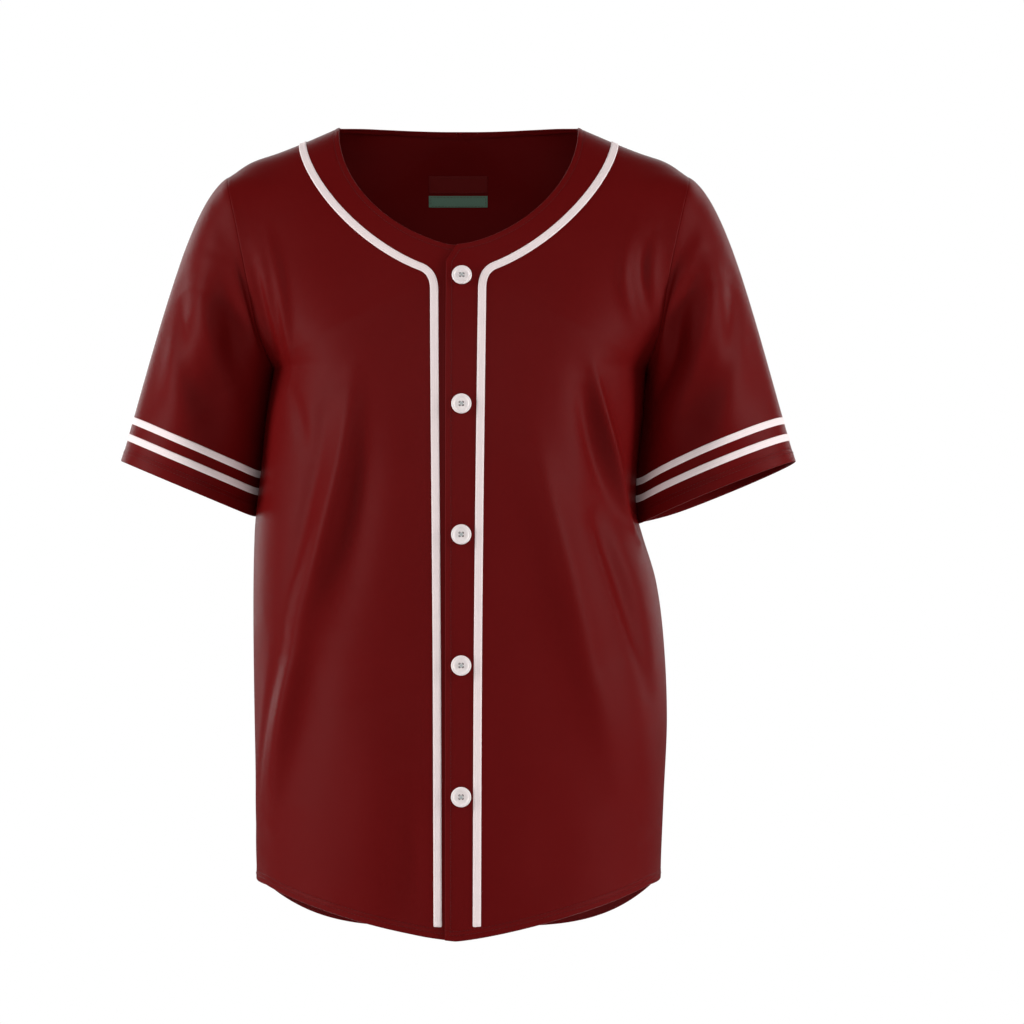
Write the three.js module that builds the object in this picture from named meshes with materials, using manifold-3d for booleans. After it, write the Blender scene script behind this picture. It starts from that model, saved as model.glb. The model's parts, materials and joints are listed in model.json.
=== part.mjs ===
// A button-front baseball jersey, filled out as it is when worn, with nobody in it.
// Millimetres, +Z up, the front faces -Y, and +X is the wearer's left.
// The origin is the middle of the neck base, level with the two high points of the shoulders.
// The cloth pieces are walls cut from one smooth garment surface: two fronts, a back and two sleeves.
import * as THREE from "three";
import { mergeVertices } from "three/addons/utils/BufferGeometryUtils.js";
import Module from "manifold-3d";

const { Vector3 } = THREE;

// Cloth and trim sizes
const WALL = 1.5;
const SEAM_GAP = 0.3;
const TRIM_LIFT = 0.55;
const BRAID = { width: 7, thickness: 0.8, step: 7 };
const STRIPE = { width: 6.5, thickness: 0.8 };
const HEM_DEPTH = 9.5;

// Neck, shoulder and front opening
const NECK = { halfWidth: 107, frontDrop: 113, backRise: 5, frontPower: 1.6, backPower: 6 };
const SHOULDER = { x: 205, z: -46 };
const ARMPIT_Z = -218;
const YOKE_Z = -150;
const CORNER_Z = -128;
const SIDE_HEM_Z = -674;
const FRONT_HEM = { drop: 36.5, reach: 0.93, power: 1.25, round: 1 };
const BACK_HEM = { drop: 63, reach: 1, power: 3.6, round: 0.8 };
const ROUNDNESS = 2.2;

// The two fronts. edge is a distance out from the centre line towards that front's own side.
// The wearer's left front lies on top, and the right one dips under it by sink.
const FRONTS = {
  right: { side: -1, edge: -14, braidDrop: 127.5, sink: 2.3 },
  left: { side: 1, edge: -9.5, braidDrop: 127, sink: 0 },
};
const BRAID_END = { x: 140, z: -14 };
// How far out the braid lies beside the buttons, by height.
const BRAID_LINE = [
  { z: -150, right: 19.5, left: 22 },
  { z: -450, right: 16.6, left: 18.8 },
  { z: -710, right: 15.5, left: 17.8 },
];
const DIP = { from: 28, to: 10.5 };

// Half the body's width to each side, and its depth in front of and behind the seams, by height.
const BODY = [
  { z: -218, right: 166, left: 168, front: 121, back: 112 },
  { z: -260, right: 173, left: 165, front: 127, back: 112 },
  { z: -310, right: 178, left: 160, front: 130, back: 111 },
  { z: -345, right: 182, left: 159.5, front: 131.5, back: 111 },
  { z: -365, right: 183.5, left: 164.5, front: 132, back: 111 },
  { z: -407, right: 184.5, left: 177, front: 133, back: 112 },
  { z: -460, right: 184.5, left: 184, front: 134, back: 114 },
  { z: -530, right: 183.5, left: 187, front: 136, back: 117 },
  { z: -600, right: 182, left: 184, front: 139, back: 121 },
  { z: -674, right: 181.5, left: 181, front: 141, back: 125 },
  { z: -740, right: 181.5, left: 181, front: 142, back: 128 },
];
const CHEST = [
  { z: 6, front: 32, back: 61 },
  { z: 0, front: 36, back: 66 },
  { z: -20, front: 45, back: 78 },
  { z: -46, front: 60, back: 90 },
  { z: -68, front: 73, back: 97 },
  { z: -93, front: 85, back: 103 },
  { z: -113, front: 93, back: 107 },
  { z: -150, front: 106, back: 111 },
  { z: -190, front: 116, back: 112.5 },
  { z: -218, front: 121, back: 112 },
];
// The half width that the middle of the front and back follows past the underarm.
// It keeps a corner out of the cloth there.
const CHEST_WIDTH = [
  { z: -46, right: 205, left: 205 },
  { z: -60, right: 227, left: 227 },
  { z: -90, right: 241, left: 241 },
  { z: -132, right: 226, left: 226 },
  { z: -175, right: 203, left: 202 },
  { z: -218, right: 187, left: 184 },
  { z: -260, right: 179, left: 171 },
  { z: -310, right: 178, left: 160 },
];
const CHEST_BLEND = { from: 0.45, to: 0.95 };
// The ridge of the shoulder, as half widths by height.
const SHOULDER_LINE = [
  { z: 6, x: 93 },
  { z: 0, x: 107 },
  { z: -12.6, x: 136 },
  { z: -23, x: 161 },
  { z: -32, x: 180 },
  { z: -46, x: 205 },
];
// The armhole seam: how far out it lies by height, and its depth in front and behind.
const ARMHOLE = [
  { z: -46, right: 205, left: 205 },
  { z: -90, right: 194, left: 194 },
  { z: -132, right: 184, left: 184 },
  { z: -175, right: 175, left: 176 },
  { z: -218, right: 166, left: 168 },
];
const ARMHOLE_DEPTH = { front: 60, back: 64 };

// Each cuff: its outer and inner ends, its depth from front to back, its middle,
// and how far its front is raised.
const CUFFS = {
  right: { side: -1, outerX: 304, outerZ: -300, innerX: 186, innerZ: -349.5, depth: 118, y: 3, tilt: 2 },
  left: { side: 1, outerX: 302, outerZ: -301, innerX: 164.5, innerZ: -356, depth: 106, y: -8, tilt: 5 },
};
// Where each sleeve sets off from its seam and how it arrives at the cuff,
// from the top round to the underarm.
const SLEEVE_START = { topLength: 122, underLength: 60, topSlope: 23, underSlope: 68, swell: 0.22 };
const SLEEVE_END = { topLength: 250, underLength: 100, topLean: 17.5, underLean: 4 };
// Distances of the sleeve's rings from the cuff's edge near the cuff, which carry the hem and the stripes.
const STRIPE_CENTRES = [22.5, 38];
const CUFF_LENGTH = 48;

// Folds of the body: soft ridges (height above 0) and troughs (below 0), each along its own line.
// face is -1 on the front and 1 on the back; x and z are where the line starts, bends and ends.
const BODY_FOLDS = [
  { face: -1, x: [-107, -118, -147], z: [-250, -372, -465], width: 20, height: 7 },
  { face: -1, x: [-147, -163, -177], z: [-465, -545, -640], width: 24, height: 6 },
  { face: -1, x: [-88, -92, -112], z: [-250, -360, -470], width: 26, height: -4 },
  { face: -1, x: [118, 134, 160], z: [-218, -290, -372], width: 11, height: 4.5 },
  { face: -1, x: [106, 120, 148], z: [-225, -300, -380], width: 15, height: -3.5 },
  { face: -1, x: [66, 98, 128], z: [-262, -375, -470], width: 32, height: 4 },
  { face: -1, x: [128, 150, 170], z: [-470, -545, -640], width: 34, height: 5 },
  { face: -1, x: [-70, -62, -76], z: [-500, -590, -690], width: 34, height: 3.5 },
  { face: -1, x: [-40, -38, -42], z: [-560, -640, -705], width: 16, height: -5 },
  { face: -1, x: [72, 78, 84], z: [-560, -630, -700], width: 30, height: -3 },
  { face: -1, x: [-178, -168, -164], z: [-95, -150, -205], width: 11, height: 4 },
  { face: -1, x: [172, 166, 166], z: [-95, -150, -205], width: 11, height: 4 },
  { face: 1, x: [66, 78, 112], z: [-108, -170, -240], width: 13, height: 6 },
  { face: 1, x: [112, 130, 158], z: [-240, -265, -290], width: 15, height: 5 },
  { face: 1, x: [-66, -78, -112], z: [-116, -180, -250], width: 14, height: 5.5 },
  { face: 1, x: [-112, -132, -162], z: [-250, -278, -300], width: 16, height: 4.5 },
  { face: 1, x: [148, 160, 172], z: [-62, -110, -160], width: 12, height: 5 },
  { face: 1, x: [-148, -158, -170], z: [-70, -118, -170], width: 12, height: 4.5 },
  { face: 1, x: [118, 136, 152], z: [-360, -500, -640], width: 36, height: 5 },
  { face: 1, x: [-120, -134, -150], z: [-350, -500, -650], width: 36, height: 5 },
  { face: 1, x: [20, 4, 12], z: [-380, -520, -700], width: 44, height: -4 },
];
// Folds of each sleeve, by turn round it in degrees (0 on top, 90 in front) and share of its length.
const SLEEVE_FOLDS = {
  right: [
    { turn: [62, 66, 84], share: [0.18, 0.5, 0.86], width: 17, height: 6 },
    { turn: [98, 104, 112], share: [0.12, 0.42, 0.8], width: 17, height: -5 },
    { turn: [26, 34, 46], share: [0.34, 0.6, 0.92], width: 18, height: -3.5 },
    { turn: [292, 284, 270], share: [0.15, 0.45, 0.85], width: 15, height: 5 },
    { turn: [262, 256, 250], share: [0.1, 0.4, 0.75], width: 16, height: -4 },
  ],
  left: [
    { turn: [60, 66, 86], share: [0.2, 0.5, 0.88], width: 16, height: 6 },
    { turn: [100, 106, 114], share: [0.1, 0.42, 0.8], width: 17, height: -5 },
    { turn: [28, 36, 46], share: [0.4, 0.65, 0.92], width: 18, height: -3 },
    { turn: [300, 292, 286], share: [0.1, 0.35, 0.7], width: 12, height: 5.5 },
    { turn: [322, 312, 296], share: [0.12, 0.4, 0.72], width: 11, height: 5 },
    { turn: [274, 266, 258], share: [0.08, 0.36, 0.72], width: 16, height: -5 },
  ],
};

// Buttons
const BUTTONS = { count: 5, firstZ: -141.5, pitch: 111.6, x: 4.4, lift: 0.4 };
const BUTTON = {
  radius: 8.6,
  thickness: 2.6,
  rimHeight: 0.9,
  rimWidth: 2.2,
  edge: 0.6,
  holeRadius: 0.95,
  holeSpacing: 2.7,
  segments: 28,
  holeSides: 8,
};

// The two patches inside the back of the neck: half width, and the heights of the top and bottom edges.
const LABELS = [
  { name: "neck_label", x: -2.5, halfWidth: 27.5, top: -33, bottom: -48.5 },
  { name: "neck_size_bar", x: -2.5, halfWidth: 27.5, top: -50.5, bottom: -61 },
];
const LABEL = { thickness: 0.6, gap: 0.6, columns: 8, rows: 3 };

// Grid sizes
const GRID = { columns: 14, bodyRows: 17, armholeRows: 12, sleeveRows: 8 };
const SLOPE_STEP = 0.01;

const SIDES = { right: -1, left: 1 };
const sideName = (side) => (side < 0 ? "right" : "left");
const faceName = (face) => (face < 0 ? "front" : "back");
const radians = THREE.MathUtils.degToRad;
const { lerp, smoothstep, clamp } = THREE.MathUtils;

// A smooth curve through the rows of a table: the value of one column at a height z.
function readTable(table, column, z) {
  let i = 0;
  while (i < table.length - 2 && z < table[i + 1].z) i += 1;
  const slope = (a, b) => (table[b][column] - table[a][column]) / (table[b].z - table[a].z);
  const here = slope(i, i + 1);
  const start = i > 0 ? slope(i - 1, i + 1) : here;
  const end = i < table.length - 2 ? slope(i, i + 2) : here;
  const span = table[i + 1].z - table[i].z;
  const t = (z - table[i].z) / span;
  if (t < 0) return table[i][column] + start * (z - table[i].z);
  if (t > 1) return table[i + 1][column] + end * (z - table[i + 1].z);
  const t2 = t * t;
  const t3 = t2 * t;
  return (
    (2 * t3 - 3 * t2 + 1) * table[i][column] +
    (t3 - 2 * t2 + t) * span * start +
    (3 * t2 - 2 * t3) * table[i + 1][column] +
    (t3 - t2) * span * end
  );
}

// The point of an armhole seam at an angle: 0 on top, 180 degrees at the underarm.
function armholePlace(side, angle) {
  const middle = (SHOULDER.z + ARMPIT_Z) / 2;
  const half = (SHOULDER.z - ARMPIT_Z) / 2;
  const z = middle + half * Math.cos(angle);
  return { z, out: readTable(ARMHOLE, sideName(side), z) };
}

// The half width and the depth of the body's section at a height, on the front or on the back.
// Between the underarm and the shoulder the section is wide enough to pass through the armhole seam.
function section(side, face, z) {
  const depth = readTable(z > ARMPIT_Z ? CHEST : BODY, faceName(face), z);
  if (z >= SHOULDER.z) return { depth, halfWidth: readTable(SHOULDER_LINE, "x", z) };
  if (z <= ARMPIT_Z) return { depth, halfWidth: readTable(BODY, sideName(side), z) };
  const middle = (SHOULDER.z + ARMPIT_Z) / 2;
  const half = (SHOULDER.z - ARMPIT_Z) / 2;
  const seamDepth = ARMHOLE_DEPTH[faceName(face)] * Math.sqrt(1 - ((z - middle) / half) ** 2);
  const share = 1 - (seamDepth / depth) ** 2;
  return { depth, halfWidth: readTable(ARMHOLE, sideName(side), z) / share ** (1 / ROUNDNESS) };
}

// The smooth body before folds, by an angle round it: 0 in front, 90 degrees at the side, 180 behind.
function bodyForm(side, angle, z) {
  const face = Math.cos(angle) > 0 ? -1 : 1;
  const { halfWidth, depth } = section(side, face, z);
  const out = halfWidth * Math.sin(angle);
  const width = chestWidth(side, z, out, halfWidth);
  const inward = Math.sqrt(Math.max(0, 1 - Math.abs(out / width) ** ROUNDNESS));
  return new Vector3(side * out, face * depth * inward, z);
}

// The half width that shapes the section at a distance out: its own near the seams,
// the chest's in the middle.
function chestWidth(side, z, out, halfWidth) {
  if (z >= SHOULDER.z || z <= CHEST_WIDTH[CHEST_WIDTH.length - 1].z) return halfWidth;
  const seam = z > ARMPIT_Z ? readTable(ARMHOLE, sideName(side), z) : halfWidth;
  const blend = smoothstep(Math.abs(out) / seam, CHEST_BLEND.from, CHEST_BLEND.to);
  return lerp(readTable(CHEST_WIDTH, sideName(side), z), halfWidth, blend);
}

// The outward normal of a surface of two numbers, from two small steps along it.
function normalOf(form, u, v, stepU, stepV, turn) {
  const alongU = form(u + stepU, v).sub(form(u - stepU, v));
  const alongV = form(u, v + stepV).sub(form(u, v - stepV));
  return alongU.cross(alongV).multiplyScalar(turn).normalize();
}

// Three points along a fold's line become a short smooth row of points in space.
const FOLD_STEPS = 8;
function foldLine(points) {
  return new THREE.CatmullRomCurve3(points).getPoints(FOLD_STEPS);
}

// How far the folds lift a point: a bell across each fold, fading at both of its ends.
function foldHeight(folds, point) {
  let height = 0;
  for (const fold of folds) {
    let best = Infinity;
    let along = 0;
    for (let i = 0; i < FOLD_STEPS; i += 1) {
      const start = fold.line[i];
      const step = fold.line[i + 1].clone().sub(start);
      const share = clamp(point.clone().sub(start).dot(step) / step.lengthSq(), 0, 1);
      const distance = start.clone().addScaledVector(step, share).distanceTo(point);
      if (distance < best) {
        best = distance;
        along = (i + share) / FOLD_STEPS;
      }
    }
    const fade = Math.sin(Math.PI * clamp(along, 0.04, 0.96)) ** 0.8;
    height += fold.height * fade * Math.exp(-((best / fold.width) ** 2));
  }
  return height;
}

const bodyFolds = BODY_FOLDS.map((fold) => ({
  ...fold,
  line: foldLine(
    fold.x.map((x, i) => {
      const side = x < 0 ? -1 : 1;
      const { halfWidth } = section(side, fold.face, fold.z[i]);
      const angle = Math.asin(clamp(Math.abs(x) / halfWidth, 0, 1));
      return bodyForm(side, fold.face < 0 ? angle : Math.PI - angle, fold.z[i]);
    }),
  ),
}));

// A point of the body's cloth, with its folds, at a distance out from the centre line.
// lift moves it outwards.
function bodyPoint(side, face, out, z, lift = 0) {
  const ownSide = out < 0 ? -side : side;
  const { halfWidth } = section(ownSide, face, z);
  const quarter = Math.asin(clamp(Math.abs(out) / halfWidth, 0, 1));
  const angle = face < 0 ? quarter : Math.PI - quarter;
  const form = (a, h) => bodyForm(ownSide, a, h);
  const point = form(angle, z);
  const normal = normalOf(form, angle, z, SLOPE_STEP, 0.5, ownSide);
  const fade = smoothstep(Math.abs(out), 2, 30);
  return point.addScaledVector(normal, fade * foldHeight(bodyFolds, point) + lift);
}

// A point of one front. The under front dips beneath the upper one near the opening.
function frontPoint(front, out, z, lift = 0) {
  const dip = front.sink * clamp((DIP.from - out) / (DIP.from - DIP.to), 0, 1);
  return bodyPoint(front.side, -1, out, z, lift - dip);
}

// A piece of cloth before it has thickness: its points, the triangles between them,
// and the normals set by hand.
class Sheet {
  constructor() {
    this.points = [];
    this.triangles = [];
    this.known = new Map();
    this.seamNormals = new Map();
  }

  // Adds a point, or finds it if it is already there, and gives its number.
  point(p) {
    const key = p.toArray().map((x) => Math.round(x * 1000)).join(",");
    if (!this.known.has(key)) {
      this.known.set(key, this.points.length);
      this.points.push(p.clone());
    }
    return this.known.get(key);
  }

  triangle(a, b, c) {
    if (a !== b && b !== c && c !== a) this.triangles.push([a, b, c]);
  }

  // Fills between rows of points. flip turns the faces round.
  grid(rows, flip) {
    const numbers = rows.map((row) => row.map((p) => this.point(p)));
    for (let j = 0; j + 1 < rows.length; j += 1) {
      for (let i = 0; i + 1 < rows[j].length; i += 1) {
        const [a, b] = [numbers[j][i], numbers[j][i + 1]];
        const [d, c] = [numbers[j + 1][i], numbers[j + 1][i + 1]];
        const quad = flip ? [d, c, b, a] : [a, b, c, d];
        this.triangle(quad[0], quad[1], quad[2]);
        this.triangle(quad[0], quad[2], quad[3]);
      }
    }
    return numbers;
  }
}

function meshOf(points, index) {
  const geometry = new THREE.BufferGeometry();
  const places = points.flatMap((p) => p.toArray());
  geometry.setAttribute("position", new THREE.Float32BufferAttribute(places, 3));
  geometry.setIndex(index);
  return geometry;
}

const keyOf = (p) => p.toArray().map((x) => Math.round(x * 100)).join(",");

// Adds each sheet's face directions into one table by place, so that pieces that meet share their normals.
function sharedNormals(sheets) {
  const table = new Map();
  for (const sheet of sheets) {
    for (const [a, b, c] of sheet.triangles) {
      const [pa, pb, pc] = [a, b, c].map((i) => sheet.points[i]);
      const area = pb.clone().sub(pa).cross(pc.clone().sub(pa));
      for (const p of [pa, pb, pc]) {
        const key = keyOf(p);
        if (!table.has(key)) table.set(key, new Vector3());
        table.get(key).add(area);
      }
    }
  }
  return table;
}

// Gives a sheet its thickness: the sheet itself outside, a copy moved in along the normals, and a rim.
// Every edge is first drawn back by half the seam gap, so that sewn pieces stand just apart.
function wall(sheet, normals, thickness, drawBack) {
  const edges = new Map();
  for (const [a, b, c] of sheet.triangles) {
    for (const [from, to] of [[a, b], [b, c], [c, a]]) {
      if (edges.has(`${to},${from}`)) edges.delete(`${to},${from}`);
      else edges.set(`${from},${to}`, [from, to]);
    }
  }
  const inwards = new Map();
  for (const [from, to] of edges.values()) {
    inwards.set(from, new Vector3());
    inwards.set(to, new Vector3());
  }
  for (const triangle of sheet.triangles) {
    const centre = triangle
      .reduce((sum, i) => sum.add(sheet.points[i]), new Vector3())
      .divideScalar(3);
    for (const i of triangle) {
      if (inwards.has(i)) inwards.get(i).add(centre.clone().sub(sheet.points[i]).normalize());
    }
  }
  const outer = sheet.points.map((p) => p.clone());
  const inner = sheet.points.map((p, i) => {
    const normal = sheet.seamNormals.get(i) ?? normals.get(keyOf(p)).clone().normalize();
    if (inwards.has(i)) {
      const way = inwards.get(i);
      way.addScaledVector(normal, -way.dot(normal)).normalize();
      outer[i].addScaledVector(way, drawBack);
    }
    return outer[i].clone().addScaledVector(normal, -thickness);
  });
  const count = outer.length;
  const index = [];
  for (const [a, b, c] of sheet.triangles) index.push(a, b, c, a + count, c + count, b + count);
  for (const [from, to] of edges.values()) {
    index.push(to, from, from + count, to, from + count, to + count);
  }
  return meshOf([...outer, ...inner], index);
}

// Heights of the front neck edge and of the back neck edge at a distance out from the centre.
const frontNeckZ = (out) => -NECK.frontDrop * Math.sqrt(1 - (out / NECK.halfWidth) ** NECK.frontPower);
const backNeckZ = (out) => NECK.backRise * (1 - (out / NECK.halfWidth) ** NECK.backPower);

// The hem's height where the body is at a share of its half width.
function hemZ(hem, share) {
  const side = Math.min(1, Math.abs(share) / hem.reach);
  return SIDE_HEM_Z - hem.drop * (1 - side ** hem.power) ** hem.round;
}

// The inner edge of a half panel above the chest, one place for each row up to the shoulder's high point.
function frontInnerEdge(front) {
  const neckRows = GRID.armholeRows - 2;
  const places = [
    { out: front.edge, z: YOKE_Z },
    { out: front.edge, z: CORNER_Z },
  ];
  for (let i = 0; i <= neckRows; i += 1) {
    const angle = (1 - (1 - i / neckRows) ** 1.4) * (Math.PI / 2);
    const out = NECK.halfWidth * Math.sin(angle) ** (2 / NECK.frontPower);
    places.push({ out, z: i === neckRows ? 0 : frontNeckZ(out) });
  }
  return places;
}

function backInnerEdge() {
  const neckRows = GRID.armholeRows / 2;
  const places = [];
  for (let i = 0; i < neckRows; i += 1) {
    places.push({ out: 0, z: lerp(YOKE_Z, NECK.backRise, i / neckRows) });
  }
  for (let i = 0; i <= neckRows; i += 1) {
    const out = NECK.halfWidth * Math.sin((i / neckRows) * (Math.PI / 2));
    places.push({ out, z: backNeckZ(out) });
  }
  return places;
}

// Where a panel's columns lie across it, by share: two near the opening, where the front dips, then closer
// together towards the side, where the body turns away.
function columnSpread(s, edge, width) {
  const column = Math.round(s * GRID.columns);
  const near = [edge, DIP.to, DIP.from];
  const turn = Math.max(0, column - 2) / (GRID.columns - 2);
  const out = near[column] ?? lerp(DIP.from, width, Math.sin((turn * Math.PI) / 2));
  return (out - edge) / (width - edge);
}

// Rows of places, each a distance out and a height, from a half panel's inner edge
// to its side seam and armhole.
function halfPanelPlaces(side, edge, hem, innerEdge) {
  const rows = [];
  const columnShares = Array.from({ length: GRID.columns + 1 }, (_, i) => i / GRID.columns);
  const bodyWidth = (z) => section(side, -1, z).halfWidth;
  const lowSpread = (s) => columnSpread(s, edge, bodyWidth(YOKE_Z));
  const sideLength = ARMPIT_Z - SIDE_HEM_Z;
  for (let j = 0; j < GRID.bodyRows; j += 1) {
    const rise = j === 0 ? 0 : lerp(HEM_DEPTH / sideLength, 1, (j - 1) / (GRID.bodyRows - 1));
    const sideZ = lerp(SIDE_HEM_Z, ARMPIT_Z, rise);
    rows.push(
      columnShares.map((s) => {
        const spread = lowSpread(s);
        const share = lerp(edge / bodyWidth(sideZ), 1, spread);
        const z = lerp(hemZ(hem, share), lerp(YOKE_Z, ARMPIT_Z, spread), rise);
        return { out: lerp(edge, bodyWidth(z), spread), z, seam: s === 1 };
      }),
    );
  }
  for (let j = 0; j <= GRID.armholeRows; j += 1) {
    const angle = Math.PI * (1 - j / GRID.armholeRows);
    const inner = innerEdge[j];
    const outer = armholePlace(side, angle);
    const evenness = j / GRID.armholeRows;
    rows.push(
      columnShares.map((s) => {
        const spread = lerp(lowSpread(s), s, evenness);
        const z = lerp(inner.z, outer.z, spread);
        const out = lerp(inner.out, outer.out, spread);
        return { out, z, armhole: s === 1 ? angle : null, shoulder: j === GRID.armholeRows };
      }),
    );
  }
  return rows;
}

// Turns places into points. On the shoulder seam the point lies on the ridge, where front and back meet.
function panelRows(places, side, face, pointAt) {
  return places.map((row) =>
    row.map((place) => {
      const onRidge = place.shoulder || (place.seam && place.z >= SIDE_HEM_Z - 1);
      if (!onRidge) return pointAt(place.out, place.z);
      const z = place.shoulder ? ridgeZ(place.out) : place.z;
      return bodyPoint(side, face, section(side, face, z).halfWidth, z);
    }),
  );
}

// The height of the shoulder's ridge at a distance out, found by halving.
function ridgeZ(out) {
  let [low, high] = [SHOULDER.z, 6];
  for (let i = 0; i < 30; i += 1) {
    const middle = (low + high) / 2;
    if (readTable(SHOULDER_LINE, "x", middle) > out) low = middle;
    else high = middle;
  }
  return (low + high) / 2;
}

// Along an armhole the cloth's rim faces the sleeve squarely, so its normals point away
// from the hole's middle.
function armholeNormal(angle, face) {
  return new Vector3(0, face * Math.sin(angle), Math.cos(angle)).normalize();
}

function markArmhole(sheet, numbers, places, face) {
  places.forEach((row, j) => {
    const last = row[row.length - 1];
    if (last.armhole === null || last.armhole === undefined) return;
    sheet.seamNormals.set(numbers[j][row.length - 1], armholeNormal(last.armhole, face));
  });
}

function frontSheet(front) {
  const sheet = new Sheet();
  const places = halfPanelPlaces(front.side, front.edge, FRONT_HEM, frontInnerEdge(front));
  const rows = panelRows(places, front.side, -1, (out, z) => frontPoint(front, out, z));
  const numbers = sheet.grid(rows, front.side < 0);
  markArmhole(sheet, numbers, places, -1);
  return sheet;
}

function backSheet() {
  const sheet = new Sheet();
  for (const side of Object.values(SIDES)) {
    const places = halfPanelPlaces(side, 0, BACK_HEM, backInnerEdge());
    const rows = panelRows(places, side, 1, (out, z) => bodyPoint(side, 1, out, z));
    const numbers = sheet.grid(rows, side > 0);
    markArmhole(sheet, numbers, places, 1);
  }
  return sheet;
}

// The smooth sleeve before folds, by the angle round it and the share of its length from seam to cuff.
function sleeveForm(side, angle, share) {
  const cuff = CUFFS[sideName(side)];
  const turn = ((angle % (2 * Math.PI)) + 2 * Math.PI) % (2 * Math.PI);
  const face = turn <= Math.PI ? -1 : 1;
  const fromTop = turn <= Math.PI ? turn : 2 * Math.PI - turn;
  const under = (1 - Math.cos(turn)) / 2;
  const { z, out } = armholePlace(side, fromTop);
  const start = bodyPoint(side, face, out, z);
  start.x += side * SEAM_GAP;
  const startSlope = radians(lerp(SLEEVE_START.topSlope, SLEEVE_START.underSlope, under));
  const startWay = new Vector3(
    side * Math.cos(startSlope),
    -SLEEVE_START.swell * Math.sin(turn),
    -Math.sin(startSlope),
  ).multiplyScalar(lerp(SLEEVE_START.topLength, SLEEVE_START.underLength, under));
  const lean = radians(lerp(SLEEVE_END.topLean, SLEEVE_END.underLean, under));
  const endWay = new Vector3(side * Math.sin(lean), 0, -Math.cos(lean)).multiplyScalar(
    lerp(SLEEVE_END.topLength, SLEEVE_END.underLength, under),
  );
  const end = new Vector3(
    side * lerp(cuff.outerX, cuff.innerX, under),
    cuff.y - (cuff.depth / 2) * Math.sin(turn),
    lerp(cuff.outerZ, cuff.innerZ, under) + cuff.tilt * Math.sin(turn),
  );
  const t2 = share * share;
  const t3 = t2 * share;
  return start
    .multiplyScalar(2 * t3 - 3 * t2 + 1)
    .addScaledVector(startWay, t3 - 2 * t2 + share)
    .addScaledVector(end, 3 * t2 - 2 * t3)
    .addScaledVector(endWay, t3 - t2);
}

const sleeveFolds = Object.fromEntries(
  Object.entries(SIDES).map(([name, side]) => [
    name,
    SLEEVE_FOLDS[name].map((fold) => ({
      ...fold,
      line: foldLine(fold.turn.map((turn, i) => sleeveForm(side, radians(turn), fold.share[i]))),
    })),
  ]),
);

// A point of a sleeve's cloth, with its folds. The folds fade out at the seam and are gentle at the cuff.
function sleevePoint(side, angle, share) {
  const form = (a, s) => sleeveForm(side, a, s);
  const point = form(angle, share);
  if (share <= 0) return point;
  const low = Math.min(share, 1 - SLOPE_STEP);
  const normal = normalOf(form, angle, low, SLOPE_STEP, Math.min(SLOPE_STEP, low), side);
  const fade = smoothstep(share, 0, 0.25) * lerp(1, 0.45, smoothstep(share, 0.75, 1));
  return point.addScaledVector(normal, fade * foldHeight(sleeveFolds[sideName(side)], point));
}

// How far along a sleeve, by share, a distance from the cuff's edge lies at one angle.
function shareFromCuff(side, angle, distance) {
  const last = sleeveForm(side, angle, 1).distanceTo(sleeveForm(side, angle, 0.9));
  return 1 - (0.1 * distance) / last;
}

const sleeveTurns = Array.from(
  { length: 2 * GRID.armholeRows },
  (_, i) => (i * Math.PI) / GRID.armholeRows,
);

// The distances from the cuff where the sleeve has its own rings: the hem and both edges of each stripe.
const cuffDistances = [
  CUFF_LENGTH,
  ...[...STRIPE_CENTRES]
    .reverse()
    .flatMap((centre) => [centre + STRIPE.width / 2, centre - STRIPE.width / 2]),
  0,
];

function sleeveRing(side, shareAt) {
  return sleeveTurns.map((turn) => sleevePoint(side, turn, shareAt(turn)));
}

// A sleeve's rings from the armhole to the cuff.
function sleeveRings(side) {
  const rings = [];
  for (let j = 0; j < GRID.sleeveRows; j += 1) {
    rings.push(
      sleeveRing(side, (turn) => (j / GRID.sleeveRows) * shareFromCuff(side, turn, CUFF_LENGTH)),
    );
  }
  for (const distance of cuffDistances) {
    rings.push(sleeveRing(side, (turn) => shareFromCuff(side, turn, distance)));
  }
  return rings;
}

const closed = (ring) => [...ring, ring[0]];

function sleeveSheet(side, rings) {
  const sheet = new Sheet();
  const numbers = sheet.grid(rings.map(closed), side < 0);
  sleeveTurns.forEach((turn, i) => {
    const face = turn <= Math.PI ? -1 : 1;
    const fromTop = turn <= Math.PI ? turn : 2 * Math.PI - turn;
    sheet.seamNormals.set(numbers[0][i], armholeNormal(fromTop, face));
  });
  return sheet;
}

// A flat strip with thickness between two rows of points. The rows are its top edges.
function strip(rowA, rowB, ways, thickness, isLoop) {
  const lower = (row) => row.map((p, i) => p.clone().addScaledVector(ways[i], -thickness));
  const places = [...rowA, ...rowB, ...lower(rowA), ...lower(rowB)];
  const count = rowA.length;
  const index = [];
  const add = (a, b, c, d) => index.push(a, b, c, a, c, d);
  for (let i = 0; i < (isLoop ? count : count - 1); i += 1) {
    const n = (i + 1) % count;
    add(i, n, count + n, count + i);
    add(2 * count + n, 2 * count + i, 3 * count + i, 3 * count + n);
    add(n, i, 2 * count + i, 2 * count + n);
    add(count + i, count + n, 3 * count + n, 3 * count + i);
  }
  if (!isLoop) {
    const end = count - 1;
    add(0, count, 3 * count, 2 * count);
    add(count + end, end, 2 * count + end, 3 * count + end);
  }
  return meshOf(places, index);
}

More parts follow.
